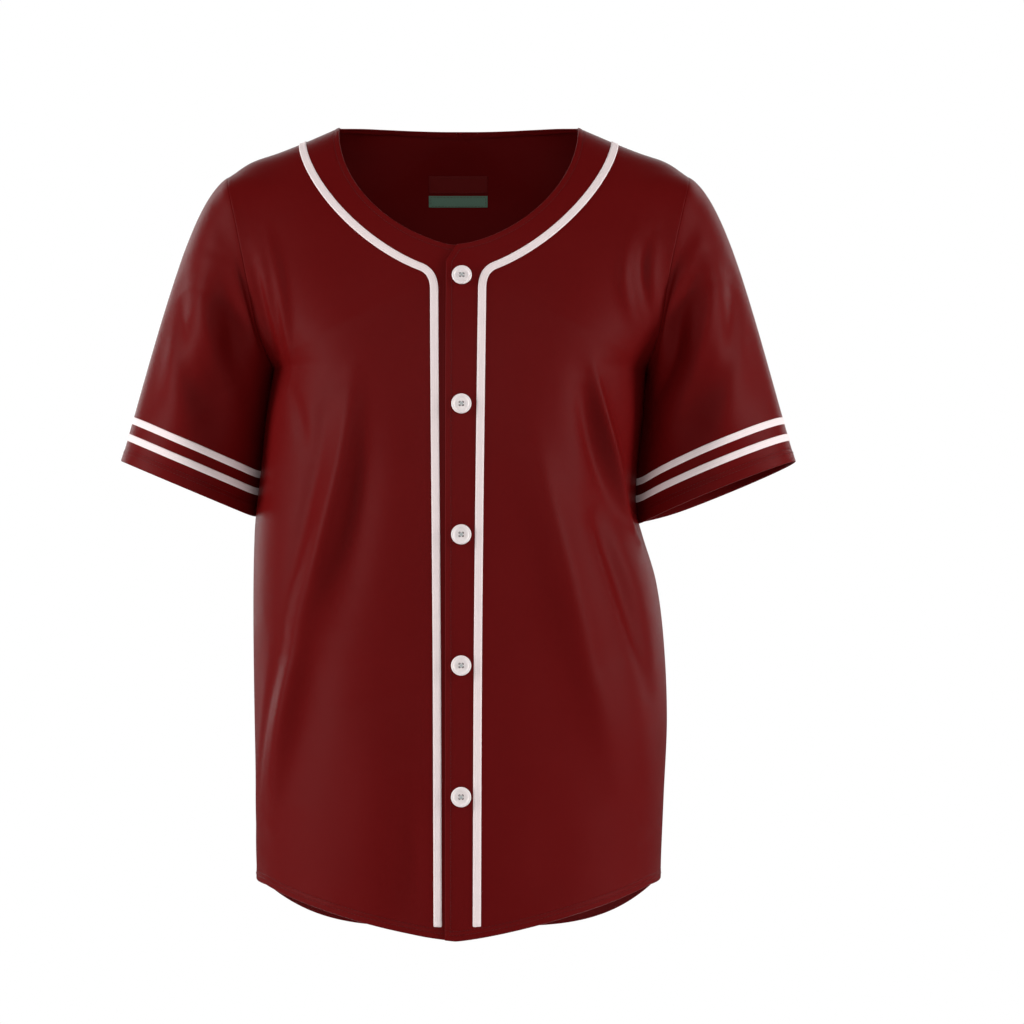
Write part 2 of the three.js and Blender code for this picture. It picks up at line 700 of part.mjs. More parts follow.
// A stripe round a sleeve, laid on the rings that were made for its two edges.
function stripeGeometry(side, rings, centre, normals) {
  const first = GRID.sleeveRows + cuffDistances.indexOf(centre + STRIPE.width / 2);
  const ways = rings[first].map((p, i) =>
    normals.get(keyOf(p)).clone().add(normals.get(keyOf(rings[first + 1][i]))).normalize(),
  );
  const lifted = (ring) =>
    ring.map((p, i) => p.clone().addScaledVector(ways[i], TRIM_LIFT + STRIPE.thickness));
  const rows = [lifted(rings[first]), lifted(rings[first + 1])];
  if (side > 0) rows.reverse();
  return strip(rows[1], rows[0], ways, STRIPE.thickness, true);
}

// The braid's middle line on one front, from the shoulder down round the corner to the hem stitching.
function frontBraidLine(front) {
  const name = sideName(front.side);
  const outAt = (z) => readTable(BRAID_LINE, name, z);
  const bend = { out: 13, drop: 16, points: 14 };
  const neckZ = (x) =>
    BRAID_END.z - front.braidDrop * (1 - (x / BRAID_END.x) ** NECK.frontPower) ** (2 / 3);
  const corner = new THREE.Vector2(outAt(YOKE_Z), neckZ(outAt(YOKE_Z) + 2));
  const neckPoints = [];
  for (let i = 0; i <= bend.points; i += 1) {
    const angle = lerp(Math.PI / 2, 0, i / bend.points);
    const x = lerp(corner.x + bend.out, BRAID_END.x, Math.sin(angle) ** 1.4);
    neckPoints.push(new THREE.Vector2(x, neckZ(x)));
  }
  const share = outAt(SIDE_HEM_Z) / section(front.side, -1, SIDE_HEM_Z).halfWidth;
  const top = corner.y - bend.drop;
  const low = hemZ(FRONT_HEM, share) + HEM_DEPTH;
  const downPoints = [];
  for (let i = 0; i <= bend.points; i += 1) {
    const z = lerp(top, low, i / bend.points);
    downPoints.push(new THREE.Vector2(outAt(z), z));
  }
  const line = new THREE.CurvePath();
  line.add(new THREE.SplineCurve(neckPoints));
  line.add(new THREE.QuadraticBezierCurve(neckPoints[bend.points], corner, downPoints[0]));
  line.add(new THREE.SplineCurve(downPoints));
  return line;
}

// The height of the braid behind the neck at a distance out from the centre.
const backBraidZ = (out) => BRAID_END.z - 15 * (1 - (out / BRAID_END.x) ** 2) ** 0.9;

// The braid is one strip: up the right front, round behind the neck, and down the left front.
// Its middle is followed in space, and its two edges are half its width to either side along the cloth.
function braidStations() {
  const stations = [];
  const addFront = (front, reverse) => {
    const line = frontBraidLine(front);
    const count = Math.ceil(line.getLength() / BRAID.step);
    const own = [];
    for (let i = 0; i <= count; i += 1) {
      const p = line.getPointAt(i / count);
      const at = (lift) => frontPoint(front, p.x, p.y, lift);
      own.push({ low: at(0), high: at(1) });
    }
    stations.push(...(reverse ? own.reverse() : own));
  };
  addFront(FRONTS.right, true);
  const backSteps = 36;
  for (let i = 1; i < backSteps; i += 1) {
    const x = BRAID_END.x * Math.sin(lerp(-Math.PI / 2, Math.PI / 2, i / backSteps));
    const at = (lift) => bodyPoint(x < 0 ? -1 : 1, 1, Math.abs(x), backBraidZ(Math.abs(x)), lift);
    stations.push({ low: at(0), high: at(1) });
  }
  addFront(FRONTS.left, false);
  return stations;
}

// Finds the cloth below or above a point along a way, and gives the place that lies on it.
function restOn(point, way, meshes) {
  const reach = 12;
  const caster = new THREE.Raycaster(
    point.clone().addScaledVector(way, reach),
    way.clone().negate(),
    0,
    2 * reach,
  );
  return (caster.intersectObjects(meshes)[0]?.point ?? point).clone();
}

// Each station of the braid is lifted until the strip's underside clears the cloth halfway to the next one.
function braidGeometry(panels) {
  const stations = braidStations();
  const ways = stations.map(({ low, high }) => high.clone().sub(low).normalize());
  const sides = [1, -1].map((sign) =>
    stations.map(({ low }, i) => {
      const before = stations[Math.max(0, i - 1)].low;
      const after = stations[Math.min(stations.length - 1, i + 1)].low;
      const across = after.clone().sub(before).cross(ways[i]).normalize();
      return restOn(low.clone().addScaledVector(across, (sign * BRAID.width) / 2), ways[i], panels);
    }),
  );
  const lifts = stations.map(() => SEAM_GAP);
  for (let i = 0; i + 1 < stations.length; i += 1) {
    const way = ways[i].clone().add(ways[i + 1]).normalize();
    for (const across of [0, 0.25, 0.5, 0.75, 1]) {
      for (const along of [0, 0.2, 0.4, 0.6, 0.8]) {
        const here = sides[0][i].clone().lerp(sides[1][i], across);
        const next = sides[0][i + 1].clone().lerp(sides[1][i + 1], across);
        const middle = here.lerp(next, along);
        const rise = restOn(middle, way, panels).sub(middle).dot(way) + SEAM_GAP;
        for (const j of [i, i + 1]) lifts[j] = Math.max(lifts[j], rise);
      }
    }
  }
  const edge = (points) =>
    points.map((p, i) => p.clone().addScaledVector(ways[i], lifts[i] + BRAID.thickness));
  return strip(edge(sides[0]), edge(sides[1]), ways, BRAID.thickness, false);
}

// Manifold turns closed meshes into solids, so that holes can be cut.
const wasm = await Module();
wasm.setup();

function solidOf(geometry) {
  const bare = geometry.clone();
  bare.deleteAttribute("normal");
  bare.deleteAttribute("uv");
  const merged = mergeVertices(bare);
  return new wasm.Manifold(
    new wasm.Mesh({
      numProp: 3,
      vertProperties: merged.attributes.position.array,
      triVerts: new Uint32Array(merged.index.array),
    }),
  );
}

function geometryOf(solid) {
  const mesh = solid.getMesh();
  const geometry = new THREE.BufferGeometry();
  geometry.setAttribute("position", new THREE.BufferAttribute(mesh.vertProperties, 3));
  geometry.setIndex(new THREE.BufferAttribute(mesh.triVerts, 1));
  return geometry;
}

// A sew-through button lying on its back: a dished disc with a rounded rim and four holes.
function buttonGeometry() {
  const { radius, thickness, rimHeight, rimWidth, edge } = BUTTON;
  const top = thickness;
  const profile = [
    [0, 0],
    [radius - edge, 0],
    [radius, edge],
    [radius, top - edge],
    [radius - edge, top],
    [radius - rimWidth + edge, top],
    [radius - rimWidth - edge, top - rimHeight],
    [0, top - rimHeight],
  ].map(([r, h]) => new THREE.Vector2(r, h));
  let solid = solidOf(new THREE.LatheGeometry(profile, BUTTON.segments).rotateX(Math.PI / 2));
  const drill = new THREE.CylinderGeometry(
    BUTTON.holeRadius,
    BUTTON.holeRadius,
    3 * thickness,
    BUTTON.holeSides,
  ).rotateX(Math.PI / 2);
  for (const sx of [-0.5, 0.5]) {
    for (const sy of [-0.5, 0.5]) {
      const hole = drill.clone().translate(sx * BUTTON.holeSpacing, sy * BUTTON.holeSpacing, 0);
      solid = solid.subtract(solidOf(hole));
    }
  }
  return geometryOf(solid);
}

// A small patch laid on the inside of the back, its points found by looking back from inside the neck.
function labelGeometry(label, backMesh) {
  const caster = new THREE.Raycaster();
  const inwards = new Vector3(0, -1, 0);
  const placeAt = (x, z) => {
    caster.set(new Vector3(x, 0, z), new Vector3(0, 1, 0));
    const [hit] = caster.intersectObject(backMesh);
    return hit.point.clone().addScaledVector(inwards, LABEL.gap + LABEL.thickness);
  };
  const rows = [];
  for (let j = 0; j <= LABEL.rows; j += 1) {
    const z = lerp(label.bottom, label.top, j / LABEL.rows);
    const row = [];
    for (let i = 0; i <= LABEL.columns; i += 1) {
      row.push(placeAt(label.x + lerp(-label.halfWidth, label.halfWidth, i / LABEL.columns), z));
    }
    rows.push(row);
  }
  const sheet = new Sheet();
  sheet.grid(rows, false);
  const normals = new Map(sheet.points.map((p) => [keyOf(p), inwards]));
  return wall(sheet, normals, LABEL.thickness, 0);
}

// Finishes
const finishes = {
  cloth: { color: 0x5e1516, roughness: 0.72, metalness: 0 },
  trim: { color: 0xe6d5d4, roughness: 0.7, metalness: 0 },
  button: { color: 0xe4dedb, roughness: 0.35, metalness: 0 },
  label: { color: 0x4a0f12, roughness: 0.8, metalness: 0 },
  labelBar: { color: 0x5d7a6c, roughness: 0.8, metalness: 0 },
};

function addPiece(group, name, geometry, finish) {
  const material = new THREE.MeshStandardMaterial(finishes[finish]);
  const mesh = new THREE.Mesh(geometry, material);
  mesh.name = name;
  group.add(mesh);
  return mesh;
}

function buildJersey() {
  const jersey = new THREE.Group();
  const rings = { right: sleeveRings(-1), left: sleeveRings(1) };
  const sheets = {
    front_right: frontSheet(FRONTS.right),
    front_left: frontSheet(FRONTS.left),
    back: backSheet(),
    sleeve_right: sleeveSheet(-1, rings.right),
    sleeve_left: sleeveSheet(1, rings.left),
  };
  const normals = sharedNormals(Object.values(sheets));
  const pieces = {};
  for (const [name, sheet] of Object.entries(sheets)) {
    const geometry = wall(sheet, normals, WALL, SEAM_GAP / 2);
    pieces[name] = addPiece(jersey, name, geometry, "cloth");
  }
  const panels = [pieces.front_right, pieces.front_left, pieces.back];
  addPiece(jersey, "braid", braidGeometry(panels), "trim");
  for (const [name, side] of Object.entries(SIDES)) {
    STRIPE_CENTRES.forEach((centre, i) => {
      const geometry = stripeGeometry(side, rings[name], centre, normals);
      addPiece(jersey, `stripe_${name}_${i + 1}`, geometry, "trim");
    });
  }
  const button = buttonGeometry();
  for (let i = 0; i < BUTTONS.count; i += 1) {
    const z = BUTTONS.firstZ - i * BUTTONS.pitch;
    const base = frontPoint(FRONTS.left, BUTTONS.x, z);
    const normal = frontPoint(FRONTS.left, BUTTONS.x, z, 1).sub(base).normalize();
    const mesh = addPiece(jersey, `button_${i + 1}`, button, "button");
    mesh.position.copy(base.addScaledVector(normal, BUTTONS.lift));
    mesh.quaternion.setFromUnitVectors(new Vector3(0, 0, 1), normal);
  }
  for (const label of LABELS) {
    const finish = label.name === "neck_label" ? "label" : "labelBar";
    addPiece(jersey, label.name, labelGeometry(label, pieces.back), finish);
  }
  return jersey;
}

export default buildJersey();
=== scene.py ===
# %% [markdown]
# # A baseball jersey, filled out as it is when worn
# The real jersey is five pieces of dark red knit cloth: two fronts, a back and two short sleeves.
# White braid runs up one front, round the neck and down the other. Two white stripes circle each cuff.
# Nobody is in it, so this lesson never models a body. It works out one smooth garment surface from a few
# short tables of sizes, cuts the cloth pieces from it, and adds folds, hems, seams and stitches.
# Flat panels could be draped in a cloth simulation instead, but that needs a body to hang them on, and its
# folds can't be put where the real ones lie. Formulas also give the same jersey at every run.
# Lengths are in millimetres until a mesh is made, and metres from then on. The front faces -Y.

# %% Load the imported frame
import json
import math
import bmesh
import bpy
import numpy as np
from mathutils import Matrix, Vector
from mathutils.bvhtree import BVHTree

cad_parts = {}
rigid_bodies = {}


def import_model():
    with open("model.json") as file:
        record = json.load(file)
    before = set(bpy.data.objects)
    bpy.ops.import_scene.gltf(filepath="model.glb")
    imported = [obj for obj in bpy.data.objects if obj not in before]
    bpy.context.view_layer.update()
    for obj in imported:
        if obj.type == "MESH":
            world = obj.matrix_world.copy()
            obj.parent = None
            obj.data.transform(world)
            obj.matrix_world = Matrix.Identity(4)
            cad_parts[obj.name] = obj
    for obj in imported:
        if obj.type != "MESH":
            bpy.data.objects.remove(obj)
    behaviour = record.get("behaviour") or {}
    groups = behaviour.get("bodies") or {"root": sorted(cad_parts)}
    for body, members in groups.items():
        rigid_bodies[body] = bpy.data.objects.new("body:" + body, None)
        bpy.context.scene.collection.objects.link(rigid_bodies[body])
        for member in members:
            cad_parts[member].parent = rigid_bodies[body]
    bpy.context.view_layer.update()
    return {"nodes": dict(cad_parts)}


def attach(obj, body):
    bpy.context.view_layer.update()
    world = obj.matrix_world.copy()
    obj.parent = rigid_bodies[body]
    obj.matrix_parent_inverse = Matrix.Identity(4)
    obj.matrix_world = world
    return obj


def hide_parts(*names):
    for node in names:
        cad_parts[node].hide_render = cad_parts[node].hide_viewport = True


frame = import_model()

MM = 0.001
print("nodes to dress:", ", ".join(sorted(frame["nodes"])))

# %% [markdown]
# ## The sizes of the garment
# A pattern cutter works from a table of measurements, and so does this script. Each row gives the garment's
# half width and depth at one height, and a smooth curve runs through the rows. The numbers are the same as
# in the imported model, so every piece below lies where its solid lies.

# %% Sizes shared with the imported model
NECK = {"half_width": 107, "front_drop": 113, "back_rise": 5, "front_power": 1.6, "back_power": 6}
SHOULDER_Z = -46
ARMPIT_Z = -218
YOKE_Z = -150
CORNER_Z = -128
SIDE_HEM_Z = -674
HEM_DEPTH = 9.5
ROUNDNESS = 2.2
SEAM_GAP = 0.3
FRONT_HEM = {"drop": 36.5, "reach": 0.93, "power": 1.25, "round": 1}
BACK_HEM = {"drop": 63, "reach": 1, "power": 3.6, "round": 0.8}
FRONTS = {
    "right": {"side": -1, "edge": -14, "braid_drop": 127.5, "sink": 2.3},
    "left": {"side": 1, "edge": -9.5, "braid_drop": 127, "sink": 0},
}
DIP = {"from": 28, "to": 10.5}
BRAID_END = {"x": 140, "z": -14}
BRAID_LINE = [
    {"z": -150, "right": 19.5, "left": 22},
    {"z": -450, "right": 16.6, "left": 18.8},
    {"z": -710, "right": 15.5, "left": 17.8},
]
BODY = [
    {"z": -218, "right": 166, "left": 168, "front": 121, "back": 112},
    {"z": -260, "right": 173, "left": 165, "front": 127, "back": 112},
    {"z": -310, "right": 178, "left": 160, "front": 130, "back": 111},
    {"z": -345, "right": 182, "left": 159.5, "front": 131.5, "back": 111},
    {"z": -365, "right": 183.5, "left": 164.5, "front": 132, "back": 111},
    {"z": -407, "right": 184.5, "left": 177, "front": 133, "back": 112},
    {"z": -460, "right": 184.5, "left": 184, "front": 134, "back": 114},
    {"z": -530, "right": 183.5, "left": 187, "front": 136, "back": 117},
    {"z": -600, "right": 182, "left": 184, "front": 139, "back": 121},
    {"z": -674, "right": 181.5, "left": 181, "front": 141, "back": 125},
    {"z": -740, "right": 181.5, "left": 181, "front": 142, "back": 128},
]
CHEST = [
    {"z": 6, "front": 32, "back": 61},
    {"z": 0, "front": 36, "back": 66},
    {"z": -20, "front": 45, "back": 78},
    {"z": -46, "front": 60, "back": 90},
    {"z": -68, "front": 73, "back": 97},
    {"z": -93, "front": 85, "back": 103},
    {"z": -113, "front": 93, "back": 107},
    {"z": -150, "front": 106, "back": 111},
    {"z": -190, "front": 116, "back": 112.5},
    {"z": -218, "front": 121, "back": 112},
]
CHEST_WIDTH = [
    {"z": -46, "right": 205, "left": 205},
    {"z": -60, "right": 227, "left": 227},
    {"z": -90, "right": 241, "left": 241},
    {"z": -132, "right": 226, "left": 226},
    {"z": -175, "right": 203, "left": 202},
    {"z": -218, "right": 187, "left": 184},
    {"z": -260, "right": 179, "left": 171},
    {"z": -310, "right": 178, "left": 160},
]
CHEST_BLEND = {"from": 0.45, "to": 0.95}
SHOULDER_LINE = [
    {"z": 6, "x": 93},
    {"z": 0, "x": 107},
    {"z": -12.6, "x": 136},
    {"z": -23, "x": 161},
    {"z": -32, "x": 180},
    {"z": -46, "x": 205},
]
ARMHOLE = [
    {"z": -46, "right": 205, "left": 205},
    {"z": -90, "right": 194, "left": 194},
    {"z": -132, "right": 184, "left": 184},
    {"z": -175, "right": 175, "left": 176},
    {"z": -218, "right": 166, "left": 168},
]
ARMHOLE_DEPTH = {"front": 60, "back": 64}
CUFFS = {
    "right": {"outer_x": 304, "outer_z": -300, "inner_x": 186, "inner_z": -349.5,
              "depth": 118, "y": 3, "tilt": 2},
    "left": {"outer_x": 302, "outer_z": -301, "inner_x": 164.5, "inner_z": -356,
             "depth": 106, "y": -8, "tilt": 5},
}
SLEEVE_START = {"top_length": 122, "under_length": 60, "top_slope": 23, "under_slope": 68, "swell": 0.22}
SLEEVE_END = {"top_length": 250, "under_length": 100, "top_lean": 17.5, "under_lean": 4}
STRIPE_CENTRES = (22.5, 38)
SIGN = {"right": -1, "left": 1}

# %% [markdown]
# ## Reading a table
# Between two rows the size follows a cubic curve that leaves each row with the slope of its neighbours.
# A straight line between rows would show as a crease all round the garment.

# %% Curves through a table
def read_table(rows, column, z):
    """The value of a column at heights z: a cubic through the rows, straight beyond the first and last."""
    z = np.asarray(z, float)
    heights = np.array([row["z"] for row in rows], float)
    values = np.array([row[column] for row in rows], float)
    chord = np.diff(values) / np.diff(heights)
    slope = np.concatenate([chord[:1], (values[2:] - values[:-2]) / (heights[2:] - heights[:-2]), chord[-1:]])
    i = np.clip(np.searchsorted(-heights, -z, side="right") - 1, 0, len(rows) - 2)
    span = heights[i + 1] - heights[i]
    t = (z - heights[i]) / span
    curve = (
        (2 * t**3 - 3 * t**2 + 1) * values[i]
        + (t**3 - 2 * t**2 + t) * span * slope[i]
        + (3 * t**2 - 2 * t**3) * values[i + 1]
        + (t**3 - t**2) * span * slope[i + 1]
    )
    before = values[i] + slope[i] * (z - heights[i])
    after = values[i + 1] + slope[i + 1] * (z - heights[i + 1])
    return np.where(t < 0, before, np.where(t > 1, after, curve))


def ease(x, low, high):
    """0 below low, 1 above high, and a smooth S between them."""
    t = np.clip((np.asarray(x, float) - low) / (high - low), 0, 1)
    return t * t * (3 - 2 * t)


def unit(vectors):
    """Each vector divided by its length."""
    return vectors / np.maximum(np.linalg.norm(vectors, axis=-1, keepdims=True), 1e-9)


def bell(distance, width):
    """1 at no distance, falling to about a third at width."""
    return np.exp(-((distance / width) ** 2))


# %% [markdown]
# ## The body's surface
# A level cut through a filled-out shirt is a rounded oval, wider than it is deep. The formula is the
# superellipse: depth times the square root of 1 minus the share of the half width to the power 2.2.
# Between the underarm and the shoulder the oval has to pass through the armhole seam as well.
# The form could be sculpted by hand, but a formula stays smooth, and it follows when a size changes.

# %% The smooth form of the body
def section(side, face, z):
    """Depth and half width of the body at heights z.
    Beside the armhole the half width is what makes the oval pass through the armhole seam."""
    depth = np.where(z > ARMPIT_Z, read_table(CHEST, face, z), read_table(BODY, face, z))
    middle, half = (SHOULDER_Z + ARMPIT_Z) / 2, (SHOULDER_Z - ARMPIT_Z) / 2
    seam_depth = ARMHOLE_DEPTH[face] * np.sqrt(np.clip(1 - ((z - middle) / half) ** 2, 0, 1))
    share = np.clip(1 - (seam_depth / depth) ** 2, 0.2, 1)
    beside_armhole = read_table(ARMHOLE, side, z) / share ** (1 / ROUNDNESS)
    width = np.where(z <= ARMPIT_Z, read_table(BODY, side, z), beside_armhole)
    return depth, np.where(z >= SHOULDER_Z, read_table(SHOULDER_LINE, "x", z), width)


def body_form(side, face, angle, z):
    """Points of the smooth body. x is the half width times the sine of the angle, and y follows the oval."""
    depth, width = section(side, face, z)
    out = width * np.sin(angle)
    seam = np.where(z > ARMPIT_Z, read_table(ARMHOLE, side, z), width)
    blend = ease(np.abs(out) / seam, CHEST_BLEND["from"], CHEST_BLEND["to"])
    chest = read_table(CHEST_WIDTH, side, z) * (1 - blend) + width * blend
    in_chest = (z < SHOULDER_Z) & (z > CHEST_WIDTH[-1]["z"])
    shaped = np.where(in_chest, chest, width)
    inward = np.sqrt(np.clip(1 - np.abs(out / shaped) ** ROUNDNESS, 0, 1))
    y = np.where(np.cos(angle) > 0, -1, 1) * depth * inward
    return np.stack([SIGN[side] * out, y, z + 0 * out], axis=-1)


def body_form_and_normal(side, angle, z):
    """The points and their outward normals, from two small steps over the surface."""
    step_angle, step_z = 0.01, 0.5

    def at(a, h):
        in_front = (np.cos(a) > 0)[..., None]
        return np.where(in_front, body_form(side, "front", a, h), body_form(side, "back", a, h))

    across = at(angle + step_angle, z) - at(angle - step_angle, z)
    up = at(angle, z + step_z) - at(angle, z - step_z)
    return at(angle, z), unit(np.cross(across, up)) * SIGN[side]


def angle_at(side, face, out, z):
    """The angle round the body at a distance out from the centre line: 0 in front, a half turn behind."""
    _, width = section(side, face, z)
    quarter = np.arcsin(np.clip(np.abs(out) / width, 0, 1))
    return quarter if face == "front" else math.pi - quarter


# %% [markdown]
# ## Folds
# Worn cloth falls from the shoulders and breaks where the arm meets the body. Each fold here is a soft
# ridge or trough laid along its own short line. Across the line it has the shape of a bell, and it fades
# at both ends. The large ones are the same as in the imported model; the small ones are only here. One row
# of numbers for each fold is easier to set against the real garment than a brush or a simulation.

# %% Tables of folds
BODY_FOLDS = [
    {"face": "front", "x": (-107, -118, -147), "z": (-250, -372, -465), "width": 20, "height": 7},
    {"face": "front", "x": (-147, -163, -177), "z": (-465, -545, -640), "width": 24, "height": 6},
    {"face": "front", "x": (-88, -92, -112), "z": (-250, -360, -470), "width": 26, "height": -4},
    {"face": "front", "x": (118, 134, 160), "z": (-218, -290, -372), "width": 11, "height": 4.5},
    {"face": "front", "x": (106, 120, 148), "z": (-225, -300, -380), "width": 15, "height": -3.5},
    {"face": "front", "x": (66, 98, 128), "z": (-262, -375, -470), "width": 32, "height": 4},
    {"face": "front", "x": (128, 150, 170), "z": (-470, -545, -640), "width": 34, "height": 5},
    {"face": "front", "x": (-70, -62, -76), "z": (-500, -590, -690), "width": 34, "height": 3.5},
    {"face": "front", "x": (-40, -38, -42), "z": (-560, -640, -705), "width": 16, "height": -5},
    {"face": "front", "x": (72, 78, 84), "z": (-560, -630, -700), "width": 30, "height": -3},
    {"face": "front", "x": (-178, -168, -164), "z": (-95, -150, -205), "width": 11, "height": 4},
    {"face": "front", "x": (172, 166, 166), "z": (-95, -150, -205), "width": 11, "height": 4},
    {"face": "back", "x": (66, 78, 112), "z": (-108, -170, -240), "width": 13, "height": 6},
    {"face": "back", "x": (112, 130, 158), "z": (-240, -265, -290), "width": 15, "height": 5},
    {"face": "back", "x": (-66, -78, -112), "z": (-116, -180, -250), "width": 14, "height": 5.5},
    {"face": "back", "x": (-112, -132, -162), "z": (-250, -278, -300), "width": 16, "height": 4.5},
    {"face": "back", "x": (148, 160, 172), "z": (-62, -110, -160), "width": 12, "height": 5},
    {"face": "back", "x": (-148, -158, -170), "z": (-70, -118, -170), "width": 12, "height": 4.5},
    {"face": "back", "x": (118, 136, 152), "z": (-360, -500, -640), "width": 36, "height": 5},
    {"face": "back", "x": (-120, -134, -150), "z": (-350, -500, -650), "width": 36, "height": 5},
    {"face": "back", "x": (20, 4, 12), "z": (-380, -520, -700), "width": 44, "height": -4},
]
SMALL_BODY_FOLDS = [
    {"face": "front", "x": (-168, -153, -147), "z": (-98, -156, -226), "width": 6, "height": 2.4},
    {"face": "front", "x": (-177, -168, -159), "z": (-124, -170, -214), "width": 6, "height": -4},
    {"face": "front", "x": (-150, -138, -130), "z": (-232, -262, -310), "width": 9, "height": -2},
    {"face": "front", "x": (-89, -101, -130), "z": (-228, -330, -432), "width": 10, "height": 8},
    {"face": "front", "x": (-76, -84, -110), "z": (-236, -335, -440), "width": 20, "height": -2.2},
    {"face": "front", "x": (-130, -146, -163), "z": (-425, -515, -620), "width": 11, "height": 6.5},
    {"face": "front", "x": (-110, -124, -138), "z": (-430, -515, -610), "width": 20, "height": -2.2},
    {"face": "front", "x": (-112, -125, -153), "z": (-236, -330, -440), "width": 11, "height": -4},
    {"face": "front", "x": (-148, -164, -174), "z": (-430, -520, -610), "width": 9, "height": -3},
    {"face": "front", "x": (159, 145, 161), "z": (-94, -144, -202), "width": 7, "height": 2.2},
    {"face": "front", "x": (169, 162, 169), "z": (-104, -140, -186), "width": 6, "height": -3.4},
    {"face": "front", "x": (118, 132, 160), "z": (-222, -290, -372), "width": 5, "height": 6},
    {"face": "front", "x": (108, 119, 143), "z": (-228, -286, -352), "width": 9, "height": -3.4},
    {"face": "front", "x": (64, 92, 136), "z": (-280, -400, -575), "width": 15, "height": 7},
    {"face": "front", "x": (46, 66, 100), "z": (-290, -430, -600), "width": 24, "height": -2},
    {"face": "front", "x": (116, 138, 166), "z": (-336, -395, -500), "width": 13, "height": -7},
    {"face": "back", "x": (60, 74, 96), "z": (-96, -168, -232), "width": 6, "height": 3.4},
    {"face": "back", "x": (-60, -72, -98), "z": (-104, -176, -240), "width": 6, "height": 3},
    {"face": "back", "x": (76, 90, 118), "z": (-110, -180, -240), "width": 10, "height": -3.5},
    {"face": "back", "x": (-76, -92, -120), "z": (-120, -188, -250), "width": 10, "height": -3},
    {"face": "back", "x": (96, 108, 130), "z": (-330, -470, -620), "width": 17, "height": -4},
    {"face": "back", "x": (-92, -108, -126), "z": (-340, -480, -640), "width": 16, "height": -4},
    {"face": "back", "x": (52, 58, 72), "z": (-400, -530, -700), "width": 18, "height": 3.6},
    {"face": "back", "x": (-48, -60, -70), "z": (-420, -560, -705), "width": 16, "height": 3.4},
    {"face": "back", "x": (156, 140, 132), "z": (-250, -300, -352), "width": 8, "height": 3},
    {"face": "back", "x": (-160, -146, -136), "z": (-262, -310, -366), "width": 8, "height": 3},
]
SLEEVE_FOLDS = {
    "right": [
        {"turn": (62, 66, 84), "share": (0.18, 0.5, 0.86), "width": 17, "height": 6},
        {"turn": (98, 104, 112), "share": (0.12, 0.42, 0.8), "width": 17, "height": -5},
        {"turn": (26, 34, 46), "share": (0.34, 0.6, 0.92), "width": 18, "height": -3.5},
        {"turn": (292, 284, 270), "share": (0.15, 0.45, 0.85), "width": 15, "height": 5},
        {"turn": (262, 256, 250), "share": (0.1, 0.4, 0.75), "width": 16, "height": -4},
    ],
    "left": [
        {"turn": (60, 66, 86), "share": (0.2, 0.5, 0.88), "width": 16, "height": 6},
        {"turn": (100, 106, 114), "share": (0.1, 0.42, 0.8), "width": 17, "height": -5},
        {"turn": (28, 36, 46), "share": (0.4, 0.65, 0.92), "width": 18, "height": -3},
        {"turn": (300, 292, 286), "share": (0.1, 0.35, 0.7), "width": 12, "height": 5.5},
        {"turn": (322, 312, 296), "share": (0.12, 0.4, 0.72), "width": 11, "height": 5},
        {"turn": (274, 266, 258), "share": (0.08, 0.36, 0.72), "width": 16, "height": -5},
    ],
}
SMALL_SLEEVE_FOLDS = {
    "right": [
        {"turn": (64, 86, 118), "share": (0.34, 0.41, 0.48), "width": 12, "height": 6.5},
        {"turn": (56, 60, 66), "share": (0.26, 0.42, 0.58), "width": 17, "height": -3},
        {"turn": (72, 104, 140), "share": (0.14, 0.12, 0.1), "width": 8, "height": 3.2},
        {"turn": (74, 112, 146), "share": (0.24, 0.32, 0.42), "width": 13, "height": -2},
        {"turn": (38, 66, 102), "share": (0.44, 0.57, 0.66), "width": 12, "height": -4.5},
        {"turn": (232, 244, 262), "share": (0.16, 0.34, 0.6), "width": 10, "height": 4},
    ],
    "left": [
        {"turn": (62, 88, 128), "share": (0.32, 0.43, 0.58), "width": 11, "height": 7},
        {"turn": (60, 92, 130), "share": (0.19, 0.14, 0.1), "width": 8, "height": 4},
        {"turn": (84, 118, 150), "share": (0.22, 0.28, 0.36), "width": 9, "height": -4.5},
        {"turn": (36, 62, 98), "share": (0.42, 0.56, 0.7), "width": 12, "height": -4.5},
        {"turn": (236, 248, 266), "share": (0.14, 0.32, 0.58), "width": 10, "height": 4},
    ],
}
SLEEVE_TUCK = {
    "right": {"turn": 205, "height": 10, "width": 22},
    "left": {"turn": 208, "height": 16, "width": 24},
}


# %% How a fold lifts the cloth
FOLD_STEPS = 8
FOLD_ENDS = {"from": 0.04, "to": 0.96, "power": 0.8}


def fold_line(points):
    """A smooth row of points through the fold's start, bend and end: a parabola in each of x, y and z."""
    start, bend, end = points
    t = np.linspace(0, 1, FOLD_STEPS + 1)[:, None]
    return start * (1 - t) * (1 - 2 * t) + bend * 4 * t * (1 - t) + end * t * (2 * t - 1)


def fold_height(folds, points):
    """How far the folds lift each point: height times the bell of its distance from the fold's line,
    times a sine along the line, which fades both ends."""
    flat = points.reshape(-1, 3)
    lift = np.zeros(len(flat))
    for fold in folds:
        starts, steps = fold["line"][:-1], np.diff(fold["line"], axis=0)
        near = np.linalg.norm(flat - fold["line"].mean(axis=0), axis=1) < fold["reach"]
        here = flat[near][:, None, :] - starts[None]
        share = np.clip((here * steps).sum(-1) / (steps**2).sum(-1), 0, 1)
        distance = np.linalg.norm(here - share[..., None] * steps, axis=-1)
        best = distance.argmin(axis=1)
        rows = np.arange(len(best))
        along = (best + share[rows, best]) / FOLD_STEPS
        fade = np.sin(math.pi * np.clip(along, FOLD_ENDS["from"], FOLD_ENDS["to"])) ** FOLD_ENDS["power"]
        lift[near] += fold["height"] * fade * bell(distance[rows, best], fold["width"])
    return lift.reshape(points.shape[:-1])


